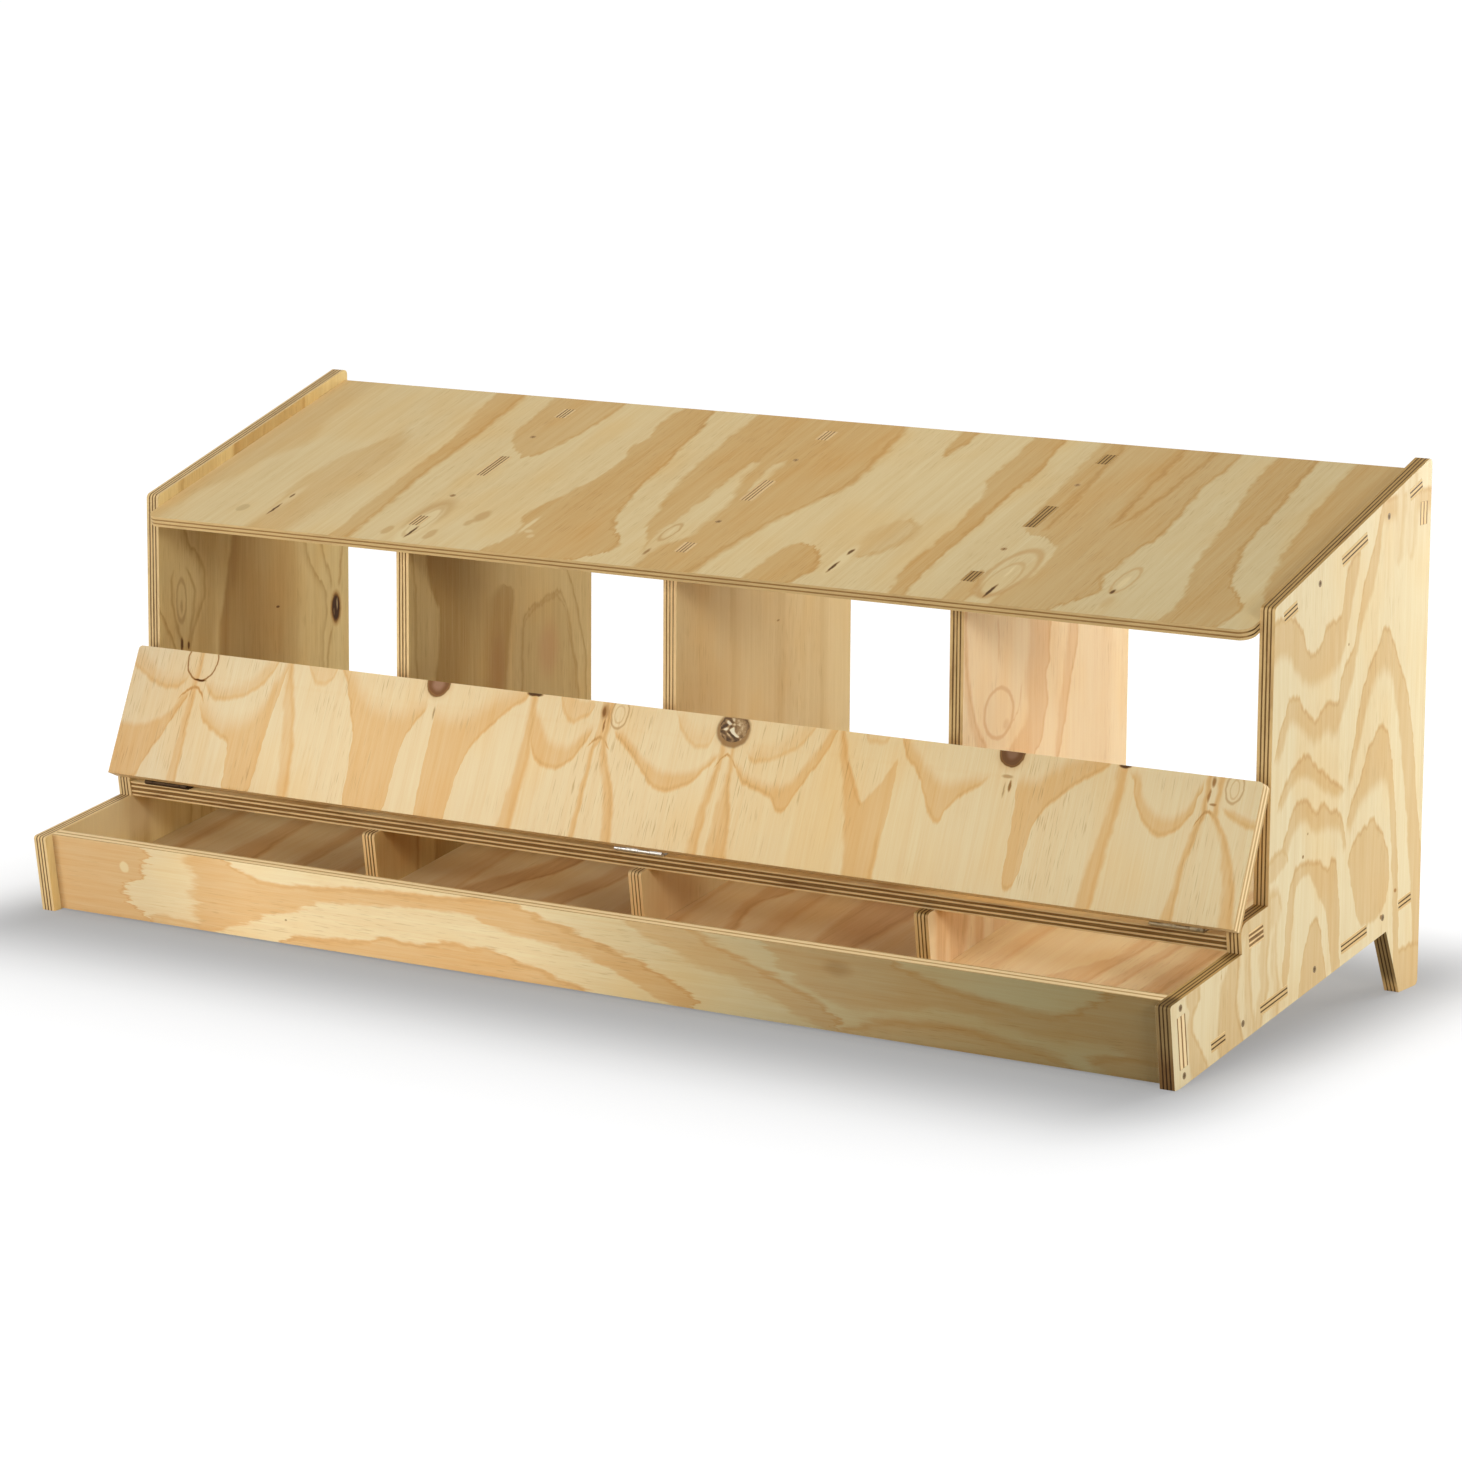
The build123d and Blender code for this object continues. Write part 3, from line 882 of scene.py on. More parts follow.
        wiring.surface({
            "Base Color": wiring.coat(cut, colour, self.edge_colour(wiring, (u, v, depth))),
            "Roughness": wiring.math("MULTIPLY_ADD", fibre, FIBRE_ROUGH, WOOD_ROUGH),
            "Normal": wiring.bump(*WOOD_BUMP, relief),
            "Specular IOR Level": WOOD_SHEEN,
        })
        return material

    def dress(self) -> None:
        """Gives the board its finish."""
        coat_node(self.node, self.finish())


def coat_node(node: str, material: bpy.types.Material) -> None:
    """Puts one material on every slot of a part of the frame.

    Args:
        node: name of the part.
        material: its finish.
    """
    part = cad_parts[node]
    if not part.material_slots:
        part.data.materials.append(material)
    for slot in part.material_slots:
        slot.material = material
    LOG.info("dressed %s with %s", node, material.name)


@dataclass(frozen=True)
class Metal:
    """Plain metal with faint brushing and stains.

    Attributes:
        name: name of the material.
        colour: colour as seen.
        stain: colour of the stains.
        rough: least roughness.
        metallic: share of metal.
    """

    name: str
    colour: Colour
    stain: Colour
    rough: float
    metallic: float = 1.0

    def finish(self) -> bpy.types.Material:
        """Makes the metal.

        Returns:
            Metal with stains and uneven gloss.
        """
        material = bpy.data.materials.new(self.name)
        wiring = Wiring(material)
        stains = STAINS.lay(wiring)
        patches = wiring.fade(stains, *STAIN_SPAN)
        wiring.surface({
            "Base Color": wiring.coat(patches, linear(self.colour), linear(self.stain)),
            "Roughness": wiring.math("MULTIPLY_ADD", stains, STAIN_ROUGH, self.rough),
            "Normal": wiring.bump(*BRUSH_BUMP, BRUSHING.lay(wiring)),
            "Metallic": self.metallic,
        })
        return material


def band(*rows: Row, **looks: float) -> Band:
    """A band whose rows follow one another along u."""
    return Band(rows, **looks)


def streak(*rows: Row, **looks: float) -> Band:
    """A band whose rows follow one another along v."""
    return Band(rows, run=Way.V, **looks)


# Lid: u along the box from its middle, v down from the free edge
LID_FIGURE = Figure(
    bands=(
        band((-600, 2, 20), (-588, 10, 27), (-570, 22, 35), (-552, 29, 38), (-538, 26, 33), (-528, 18, 18),
             tone=0.7, near=8),
        band((-515, 25, 25), (-506, 28, 36), (-492, 33, 44), (-474, 28, 41), (-456, 18, 33), (-444, 4, 24),
             (-434, -4, 8), (-430, -8, -4), tone=0.75, near=8),
        band((-600, 76, 130), (-582, 76, 130), (-570, 74, 128), (-560, 70, 106), (-548, 62, 84),
             (-538, 51, 62), (-530, 40, 47), (-525, 37, 37), near=4),
        band((-514, 40, 40), (-506, 52, 62), (-494, 61, 71), (-480, 64, 77), (-468, 64, 84),
             (-461, 62, 130), (-448, 56, 130), (-438, 42, 130), (-432, 28, 126), (-427, 14, 60),
             (-422, 2, 26), (-419, -4, 8), (-415, -9, -9), near=14),
        streak((42, -526, -520), (60, -527, -520), (90, -528, -519), (130, -530, -518), tone=0.75, near=1.5,
               far=1.5),
        band((-541, 53, 53), (-535, 42, 44), (-529, 35, 38), (-522, 32, 35), (-515, 35, 38), (-510, 42, 44),
             (-504, 52, 52), tone=1.5, near=1.2, far=1.2),
        streak((-4, -419, -415), (30, -416, -405), (60, -409, -396), (90, -404, -390), (130, -397, -385),
               tone=0.85),
        band((-398, -4, -4), (-390, -6, 10), (-380, -6, 18), (-368, -6, 14), (-360, -4, -4), tone=0.55),
        band((-360, -9, -9), (-354, -6, 2), (-346, 0, 16), (-336, 10, 38), (-326, 20, 66), (-320, 26, 128),
             (-306, 32, 134), (-280, 34, 134), (-275, 34, 122), (-271, 32, 66), (-265, 29, 47),
             (-257, 25, 35), (-249, 22, 22), near=14),
        band((-242, 22, 22), (-239, 28, 130), (-228, 32, 134), (-208, 30, 132), (-203, 28, 88),
             (-196, 24, 62), (-187, 18, 47), (-174, 9, 32), (-159, 0, 17), (-146, -6, 6), (-138, -9, -9),
             near=14),
        streak((4, -141, -134), (30, -139, -131), (60, -140, -128), (95, -143, -130), (130, -147, -131),
               tone=0.95),
        band((-134, 8, 8), (-127, 20, 52), (-118, 34, 63), (-106, 44, 67), (-94, 45, 66), (-84, 41, 59),
             (-76, 32, 47), (-70, 26, 36), (-65, 25, 25), near=7),
        band((-110, -2, -2), (-102, -4, 14), (-92, 0, 23), (-82, 2, 19), (-73, 0, 15), (-70, 4, 4),
             tone=0.7),
        streak((34, -62, -55), (45, -65, -61), (80, -66, -61), (130, -68, -62), tone=0.8, near=1.5,
               far=1.5),
        band((-72, 47, 47), (-66, 38, 40), (-61, 33, 36), (-57, 31, 34), (-52, 33, 36), (-47, 39, 41),
             (-42, 46, 46), tone=1.5, near=1.2, far=1.2),
        streak((36, -55, -50), (55, -51, -43), (75, -44, -33), (100, -36, -26), (130, -31, -21), tone=0.95),
        band((-48, 22, 22), (-40, 25, 31), (-26, 32, 41), (-10, 44, 55), (4, 52, 68), (20, 57, 74),
             (34, 56, 71), (48, 52, 63), (58, 45, 51), (68, 36, 39), (75, 32, 32), near=5),
        band((14, -4, -4), (24, 2, 14), (36, 12, 27), (48, 16, 32), (58, 14, 29), (65, 4, 4), tone=0.55,
             near=9),
        streak((37, 71, 76), (60, 67, 73), (90, 62, 70), (130, 58, 70), tone=0.85),
        band((66, 52, 52), (71, 41, 43), (75, 36, 38.5), (79, 33.5, 36), (84, 36, 38.5), (88, 41, 43),
             (94, 50, 50), tone=1.5, near=1.2, far=1.2),
        streak((38, 82, 86), (62, 82, 89), (85, 80, 95), (130, 79, 101), tone=0.95),
        band((86, 36, 36), (93, 43, 49), (102, 50, 58), (118, 55, 63), (132, 56, 68), (146, 54, 79),
             (154, 46, 67), (163, 30, 49), (173, 14, 31), (184, -4, 8), (188, -8, -8), near=6),
        band((96, 26, 26), (106, 26, 38), (120, 22, 36), (136, 13, 29), (150, 2, 20), (162, -6, 4),
             (166, -8, -8), tone=0.55, near=9),
        streak((-4, 189, 192), (20, 193, 201), (40, 200, 212), (60, 206, 224), (80, 212, 250),
               (100, 216, 251), (130, 221, 251), tone=1.0),
        band((222, 64, 64), (230, 54, 90), (238, 44, 90), (246, 28, 90), (251, 20, 90), (253, 40, 40),
             tone=0.95, near=3, far=12, rim=0.0),
        band((212, -4, -4), (222, -6, 8), (234, -6, 8), (242, -4, -4), tone=0.45),
        band((248, -9, -9), (253, -6, 4), (262, 4, 19), (276, 18, 32), (286, 27, 52), (296, 33, 66),
             (302, 35, 70), (309, 34, 57), (320, 31, 45), (336, 26, 33), (350, 22, 22), near=8),
        band((371, 20, 20), (375, 22, 66), (379, 24, 120), (387, 24, 118), (391, 22, 92), (396, 18, 60),
             (404, 12, 45), (418, 3, 31), (434, -5, 17), (452, -8, 6), (462, -8, -8), near=9),
        streak((6, 463, 473), (20, 464, 473), (50, 460, 471), (85, 455, 468), (130, 449, 465), tone=0.95),
        band((474, 2, 2), (482, 6, 18), (492, 24, 40), (503, 35, 52), (515, 41, 57), (528, 38, 51),
             (538, 26, 39), (544, 8, 18), (547, 0, 0), near=6),
        streak((36, 548, 553), (60, 541, 547), (90, 537, 543), (130, 531, 542), tone=0.95, near=1.8,
               far=1.8),
        band((543, 50, 50), (547, 38, 41), (551, 31, 34), (555, 28.5, 31.5), (560, 31, 34), (565, 38, 41),
             (572, 49, 49), tone=1.5, near=1.2, far=1.2),
        streak((34, 559, 564), (52, 570, 577), (76, 578, 588), (102, 583, 595), (130, 585, 599), tone=0.95),
        band((564, 24, 24), (576, 27, 34), (590, 32, 40), (604, 34, 42), tone=0.85),
    ),
    spots=(
        Spot((-520, 7), (17.5, 20), (122, 76, 28), 0.75, 0.6, 0.07),
        Spot((-518, 26.5), (9, 1.4), (64, 36, 10), 0.9, 0.6),
        Spot((-245, 1), (20, 20), (206, 160, 104), 0.5, 0.5),
        Spot((-245, 0), (13, 14.5), (122, 82, 52), 0.95, 0.16),
        Spot((-245, 2), (9, 9), (166, 126, 98), 0.85, 0.6),
        Spot((-245, 0), (12.6, 14), DARK_KNOT, 0.6, 0.7, 0.1),
        Spot((-243, 30), (1.4, 8), SEAM, 0.5, 0.7),
        Spot((-137, 0.5), (10, 3), DARK_KNOT, 0.9, 0.4),
        Spot((-58, 9), (6, 10), (178, 132, 80), 0.75, 0.6),
        Spot((-59, 9), (2.6, 6), (122, 84, 48), 0.75, 0.6),
        Spot((-56, 22), (1.4, 7), (132, 92, 52), 0.7, 0.7),
        Spot((-42, 9), (9, 14), (188, 142, 86), 0.7, 0.6, 0.14),
        Spot((-42, 10), (5, 8), (206, 164, 108), 0.5, 0.6, 0.2),
        Spot((80, 11), (25, 23), (222, 184, 130), 0.4, 0.4),
        Spot((80, 11), (19, 17.5), (150, 112, 68), 0.9, 0.16),
        Spot((361, 1), (19, 20), (200, 154, 98), 0.5, 0.5),
        Spot((361, 0), (12.5, 13.5), (104, 72, 46), 0.95, 0.16),
        Spot((361, 1), (8.5, 8.5), (140, 106, 80), 0.8, 0.6),
        Spot((361, 0), (12.2, 13), DARK_KNOT, 0.7, 0.7, 0.1),
        Spot((365, 30), (1.8, 6.5), (128, 88, 46), 0.8, 0.6),
        Spot((361, 22), (7, 2), (176, 132, 78), 0.7, 0.6),
        Spot((360, 34), (1.2, 9), SEAM, 0.4, 0.7),
        Spot((470, 0.5), (6.5, 3), DARK_KNOT, 0.9, 0.4),
        Spot((555, 5), (2.4, 6), (136, 92, 46), 0.75, 0.7),
        Spot((553, 17), (1.8, 7), (146, 100, 52), 0.7, 0.7),
        Spot((558, 24), (4, 1.6), (140, 100, 56), 0.6, 0.6),
        Spot((575, 8), (8, 13), (182, 138, 84), 0.65, 0.6, 0.16),
        Spot((575, 9), (4, 8), (196, 154, 98), 0.5, 0.6, 0.2),
    ),
)

# Roof: u along the box from its middle, v forwards down the slope from the back edge
ROOF_FIGURE = Figure(
    bands=(
        streak((0, -610, -545), (-80, -610, -545), (-150, -610, -528), (-200, -610, -548),
               (-250, -610, -558), (-275, -610, -568), (-336, -610, -566), tone=0.5, far=9, rim=0.0),
        streak((-92, -441, -441), (-130, -449, -424), (-165, -466, -415), (-200, -473, -411),
               (-240, -476, -411), (-270, -470, -413), (-300, -463, -416), (-336, -466, -418), tone=0.65,
               near=4, far=12, rim=0.0),
        streak((0, -399, -364), (-40, -394, -360), (-80, -386, -358), (-115, -379, -357),
               (-150, -376, -356), (-200, -375, -355), (-250, -372, -350), (-300, -369, -346),
               (-336, -366, -344), tone=0.85, far=4),
        streak((0, -330, -244), (-50, -326, -247), (-90, -321, -254), (-106, -315, -257),
               (-120, -302, -261), (-132, -291, -266), (-142, -278, -278), tone=0.85),
        streak((0, -178, -144), (-30, -183, -139), (-55, -183, -132), (-80, -175, -131), (-100, -183, -128),
               (-120, -172, -124), (-150, -172, -122), (-180, -176, -119), (-210, -185, -112),
               (-230, -192, -107), (-250, -197, -100), (-265, -195, -92), (-280, -186, -76),
               (-300, -184, -67), (-312, -186, -67), (-320, -190, -78), (-336, -196, -98)),
        streak((0, -96, 70), (-50, -95, 77), (-90, -93, 82), (-120, -92, 84), (-150, -89, 81),
               (-170, -86, 73), (-200, -80, 62), (-225, -71, 53), (-250, -66, 48), (-265, -57, 46),
               (-280, -47, 42), (-300, -37, 39), (-336, -32, 36), near=3, far=5),
        streak((-104, -34, -34), (-115, -41, -31), (-140, -41, -28), (-165, -41, -20), (-190, -41, -11),
               (-240, -42, -8), (-260, -44, -7), (-275, -43, -13), (-290, -39, -23), (-310, -36, -27),
               (-336, -35, -26), tone=0.1),
        streak((-97, -10, -10), (-110, -14, -5), (-130, -15, -5), (-148, -12, -1), (-166, -6, 0),
               (-178, -3, -3), tone=0.15),
        streak((-136, 3, 3), (-150, 0, 7), (-176, 2, 8), (-192, 5, 5), tone=0.15),
        streak((0, 128, 148), (-25, 130, 147), (-45, 133, 144), (-58, 137, 142), (-70, 140, 140)),
        streak((-251, 103, 103), (-260, 98, 111), (-265, 95, 125), (-275, 92, 133), (-290, 90, 142),
               (-305, 90, 146), (-320, 89, 142), (-336, 88, 137)),
        streak((-186, 178, 178), (-210, 161, 198), (-235, 156, 200), (-255, 158, 192), (-268, 165, 182),
               (-278, 173, 173), tone=0.5, near=6, far=6),
        streak((0, 203, 237), (-30, 206, 241), (-60, 208, 245), (-90, 206, 247), (-105, 208, 246),
               (-118, 214, 246), (-130, 220, 246), (-160, 223, 247), (-200, 228, 248), (-240, 228, 248),
               (-270, 226, 249), (-300, 229, 250), (-336, 237, 256)),
        streak((0, 275, 418), (-40, 277, 418), (-80, 281, 415), (-110, 284, 418), (-140, 286, 421),
               (-170, 290, 425), (-190, 294, 424), (-199, 302, 420), (-204, 322, 418), (-212, 335, 417),
               (-226, 343, 416), (-245, 349, 417), (-265, 349, 413), (-280, 347, 420), (-290, 344, 425),
               (-302, 341, 420), (-318, 339, 409), (-336, 337, 398), tone=0.85),
        streak((0, 352, 362), (-60, 354, 365), (-110, 358, 368), (-150, 364, 371), (-185, 369, 369),
               tone=1.15, near=5),
        streak((0, 388, 394), (-60, 386, 392), (-120, 380, 387), (-165, 374, 379), (-185, 372, 372),
               tone=1.1, near=5),
        streak((0, 289, 300), (-60, 292, 306), (-120, 300, 312), (-180, 308, 316), (-198, 312, 312),
               tone=1.1, near=5),
        streak((-270, 298, 298), (-285, 292, 304), (-300, 290, 310), (-315, 290, 314), (-336, 292, 315),
               tone=0.75),
        streak((0, 452, 492), (-50, 454, 497), (-80, 458, 500), (-110, 464, 503), (-150, 471, 505),
               (-180, 474, 508), (-200, 476, 512), (-220, 480, 518), (-240, 484, 524), (-255, 490, 531),
               (-265, 494, 538), (-275, 497, 546), (-290, 500, 558), (-305, 503, 562), (-320, 503, 560),
               (-336, 500, 555)),
        streak((0, 528, 610), (-50, 532, 610), (-100, 535, 610), (-140, 540, 610), (-170, 545, 610),
               (-200, 548, 610), (-220, 553, 610), (-240, 558, 610), (-260, 564, 610), (-280, 572, 610),
               (-300, 582, 610), (-312, 600, 600)),
    ),
    spots=(
        Spot((-461, -268), (7, 40), PALE_WOOD, 0.6, 0.7),
        Spot((-461, -294), (1.9, 15), SLIT, 0.9, 0.6),
        Spot((-462, -264), (1.9, 6), SLIT, 0.75, 0.6),
        Spot((-496, -298), (7, 9), (178, 150, 104), 0.5, 0.3),
        Spot((-292, -276), (22, 46), HALO, 0.7, 0.5),
        Spot((-290, -296), (15, 48), PALE_WOOD, 0.9, 0.4),
        Spot((-290, -290), (8, 30), HALO, 0.4, 0.6, 0.2),
        Spot((-288, -312), (2.2, 15), SLIT, 0.9, 0.6),
        Spot((-315, -313), (6, 11), HALO, 0.6, 0.4),
        Spot((-266, -313), (6, 13), HALO, 0.6, 0.4),
        Spot((-238, -268), (9, 16), HALO, 0.7, 0.5),
        Spot((-243, -283), (5, 9), HALO, 0.6, 0.5),
        Spot((-180, -276), (3.6, 24), PALE_WOOD, 0.8, 0.6),
        Spot((-172, -288), (6, 5), PALE_WOOD, 0.6, 0.6),
        Spot((-164, -297), (5, 5), PALE_WOOD, 0.5, 0.6),
        Spot((-33, -262), (6, 17), HALO, 0.7, 0.7, 0.3),
        Spot((-33, -262), (2.4, 13), PALE_WOOD, 0.7, 0.7),
        Spot((-32, -304), (2.8, 9), SEAM, 0.6, 0.7),
        Spot((160, -282), (8, 40), PALE_WOOD, 0.8, 0.6),
        Spot((160, -297), (2.1, 14), SLIT, 0.9, 0.6),
        Spot((160, -266), (2.3, 8), SLIT, 0.85, 0.6),
        Spot((326, -276), (19, 46), HALO, 0.65, 0.5, 0.2),
        Spot((326, -290), (12, 34), HALO, 0.5, 0.6, 0.16),
        Spot((327, -312), (2.4, 16), SLIT, 0.95, 0.6),
        Spot((325, -274), (2, 16), PALE_WOOD, 0.8, 0.7),
        Spot((436, -268), (8, 24), HALO, 0.6, 0.7, 0.22),
        Spot((436, -272), (5, 16), PALE_WOOD, 0.6, 0.6),
        Spot((435, -291), (2.2, 6), SLIT, 0.85, 0.6),
        Spot((440, -310), (7, 16), HALO, 0.4, 0.7),
    ),
    base=0.05,
)

# Right side, outer face: u from front to back, v up from the ground
RIGHT_FIGURE = Figure(
    bands=(
        band((-66, 330, 364), (-40, 332, 366), (-25, 320, 361), (-12, 308, 350), (0, 303, 332),
             (14, 301, 329), (25, 302, 334), (33, 304, 347), (45, 306, 351), (57, 308, 352), (65, 316, 366),
             (71, 330, 393), (80, 356, 400), (92, 388, 405), (98, 402, 402), near=7),
        band((-60, 240, 240), (-50, 246, 268), (-40, 260, 283), (-31, 272, 296), (-19, 271, 296),
             (-7, 265, 285), (5, 256, 275), (18, 251, 271), (30, 254, 279), (41, 257, 283), (51, 252, 281),
             (58, 253, 280), (64, 260, 296), (71, 272, 309), (80, 285, 318), (86, 296, 322), (92, 312, 338),
             (98, 329, 358), (105, 346, 378), (115, 358, 394), (125, 374, 414), (132, 396, 432),
             (138, 425, 445), near=7),
        band((-54, 200, 200), (-44, 203, 215), (-36, 209, 225), (-24, 219, 235), (-9, 225, 242),
             (3, 224, 244), (14, 219, 235), (26, 211, 227), (47, 202, 217), (64, 197, 208), (82, 200, 200),
             near=5),
        band((80, 200, 200), (87, 205, 225), (93, 215, 242), (98, 226, 260), (106, 245, 280),
             (114, 264, 296), (122, 278, 306), (131, 287, 315), (139, 292, 325), (147, 294, 332),
             (156, 292, 329), (164, 283, 319), (172, 266, 306), (181, 239, 292), (193, 191, 275),
             (202, 150, 254), (208, 120, 233), (214, 90, 208), (218, 60, 183), (226, 20, 150),
             (236, 0, 110), near=9),
        band((-44, 156, 156), (-38, 155, 172), (-31, 163, 185), (-24, 173, 196), (-14, 182, 205),
             (-3, 185, 206), (8, 183, 202), (15, 176, 196), (24, 173, 192), (34, 174, 197), (42, 173, 194),
             (52, 171, 187), (62, 170, 186), (71, 164, 181), (77, 148, 169), (82, 142, 142), near=6),
        band((80, 160, 160), (89, 164, 187), (101, 178, 198), (108, 183, 208), (115, 186, 222),
             (123, 190, 233), (133, 193, 240), (141, 195, 247), (149, 196, 246), (157, 195, 241),
             (163, 185, 230), (168, 158, 212), (172, 130, 192), (177, 90, 170), (182, 40, 142),
             (187, -10, 100), (192, -20, 40), near=8),
        band((86, 134, 134), (93, 117, 150), (99, 103, 155), (106, 84, 158), (118, 74, 163), (133, 74, 168),
             (140, 74, 161), (150, 78, 155), (160, 84, 140), (166, 95, 128), (171, 112, 112)),
        band((-62, 143, 163), (-50, 145, 168), (-42, 150, 170), (-34, 152, 166), (-26, 158, 158), tone=0.8),
        band((-64, 104, 134), (-50, 104, 137), (-42, 108, 130), (-36, 117, 117), tone=0.6, near=5, far=5),
        band((-34, 60, 60), (-29, 40, 104), (-24, 50, 132), (-18, 90, 143), (-12, 128, 149), (-2, 137, 151),
             (10, 138, 150), (20, 130, 149), (30, 117, 147), (40, 106, 141), (48, 96, 137), (55, 60, 146),
             (62, 40, 142), (68, 30, 118), (76, 40, 40), near=3),
        band((-4, 30, 30), (0, 20, 50), (6, 20, 75), (13, 20, 86), (20, 20, 96), (28, 20, 98), (35, 25, 88),
             (41, 30, 68), (47, 35, 50), (52, 40, 40)),
        streak((104, -190, -190), (98, -196, -180), (85, -200, -183), (70, -207, -182), (60, -200, -190),
               (50, -204, -193), (35, -201, -185), (20, -198, -172), (6, -194, -160), tone=0.85),
        streak((122, -116, -116), (115, -120, -113), (95, -128, -112), (85, -135, -112), (70, -145, -114),
               (55, -148, -115), (40, -150, -112), (25, -150, -105), (10, -145, -98), tone=0.9, near=3.5),
        streak((124, -98, -98), (115, -104, -95), (80, -103, -92), (50, -101, -88), (20, -98, -80),
               tone=0.6),
        streak((150, -62, -62), (135, -72, -61), (100, -74, -58), (80, -78, -62), (60, -75, -58),
               (40, -80, -65), (20, -85, -70), tone=0.75),
        streak((112, -47, -47), (105, -50, -46), (75, -55, -45), (50, -50, -38), (25, -52, -40), tone=0.6),
        streak((470, 163, 178), (430, 165, 180), (395, 163, 178), (374, 171, 171), tone=0.4, near=5, far=5),
        streak((470, 183, 206), (420, 183, 206), (395, 185, 204), (378, 195, 195), tone=0.4, near=5, far=5),
    ),
    spots=(
        Spot((0, 155), (2, 1.8), SEAM, 0.8, 0.4),
        Spot((8, 174), (1.4, 1.2), SEAM, 0.6, 0.4),
        Spot((77, 326), (1.5, 1.4), SEAM, 0.6, 0.4),
        Spot((182, 94), (3.2, 2.2), (150, 112, 62), 0.8, 0.5),
        Spot((155, 75), (3, 2.4), (140, 104, 58), 0.8, 0.5),
        Spot((147, 429), (3.6, 3.6), (206, 172, 118), 0.7, 0.4),
        Spot((-145, 80), (1.2, 3.2), (176, 134, 78), 0.6, 0.5),
    ),
    base=0.12,
)

# Front board, outer face: u along the box from its middle, v up from the lower edge
FRONT_FIGURE = Figure(
    bands=(
        streak((-4, -620, -470), (8, -620, -482), (15, -620, -496), (25, -620, -503), (35, -620, -500),
               (42, -620, -482), (50, -620, -474), (60, -620, -471), (76, -620, -477)),
        band((-480, 0, 0), (-465, -4, 9), (-440, -4, 8), (-415, -4, 3), (-400, -2, -2), tone=0.7),
        band((-424, -6, 80), (-416, -6, 80), (-400, 0, 80), (-385, 6, 76), (-362, 13, 65), (-345, 21, 60),
             (-330, 27, 58), (-310, 32, 58), (-295, 38, 60), (-285, 44, 60), (-258, 47, 62), (-230, 50, 65),
             (-200, 52, 67), (-165, 54, 68), (-135, 56, 70), (-105, 55, 72), (-80, 47, 74), (-60, 43, 74),
             (-38, 41, 67), (-15, 39, 61), (10, 34, 54), (40, 25, 45), (70, 14, 38), (95, 4, 28),
             (120, -6, 14), (140, -8, -8), ends=9.0),
        band((-340, -4, -4), (-312, -6, 8), (-280, -6, 11), (-250, -6, 13), (-222, -6, 17), (-200, -6, 22),
             (-185, -6, 20), (-165, -6, 20), (-150, -6, 23), (-130, -6, 28), (-110, -6, 25), (-90, -6, 27),
             (-72, -6, 24), (-58, -6, 18), (-40, -6, 16), (-18, -6, 9), (10, -6, 3), (30, -5, -5)),
        band((50, 76, 76), (70, 66, 84), (100, 54, 82), (125, 45, 76), (150, 38, 66), (180, 32, 54),
             (205, 20, 46), (235, 8, 34), (262, 0, 20), (290, -6, -6), tone=0.8, near=4, far=4),
        band((195, 80, 80), (215, 58, 84), (250, 34, 84), (285, 22, 84), (320, 26, 82), (345, 30, 68),
             (380, 36, 58), (430, 30, 50), (480, 24, 46), (520, 26, 60), (560, 20, 84), (620, 16, 84),
             tone=0.75, near=5, far=4),
        band((500, 8, 8), (530, 2, 16), (570, -6, 20), (620, -6, 18), tone=0.8, near=4, far=4),
        band((264, -4, -4), (300, -6, 13), (340, -6, 21), (390, -6, 23), (440, -6, 17), (490, -6, 9),
             (520, -5, -5), tone=0.6, near=4, far=5),
    ),
    spots=(
        Spot((-502, 51), (6.5, 6.5), PALE_WOOD, 0.9, 0.4),
        Spot((-316, 23), (2, 1.4), (150, 116, 66), 0.7, 0.5),
        Spot((277, 58), (19, 10), (128, 100, 62), 0.26, 0.8),
    ),
    base=0.1,
)

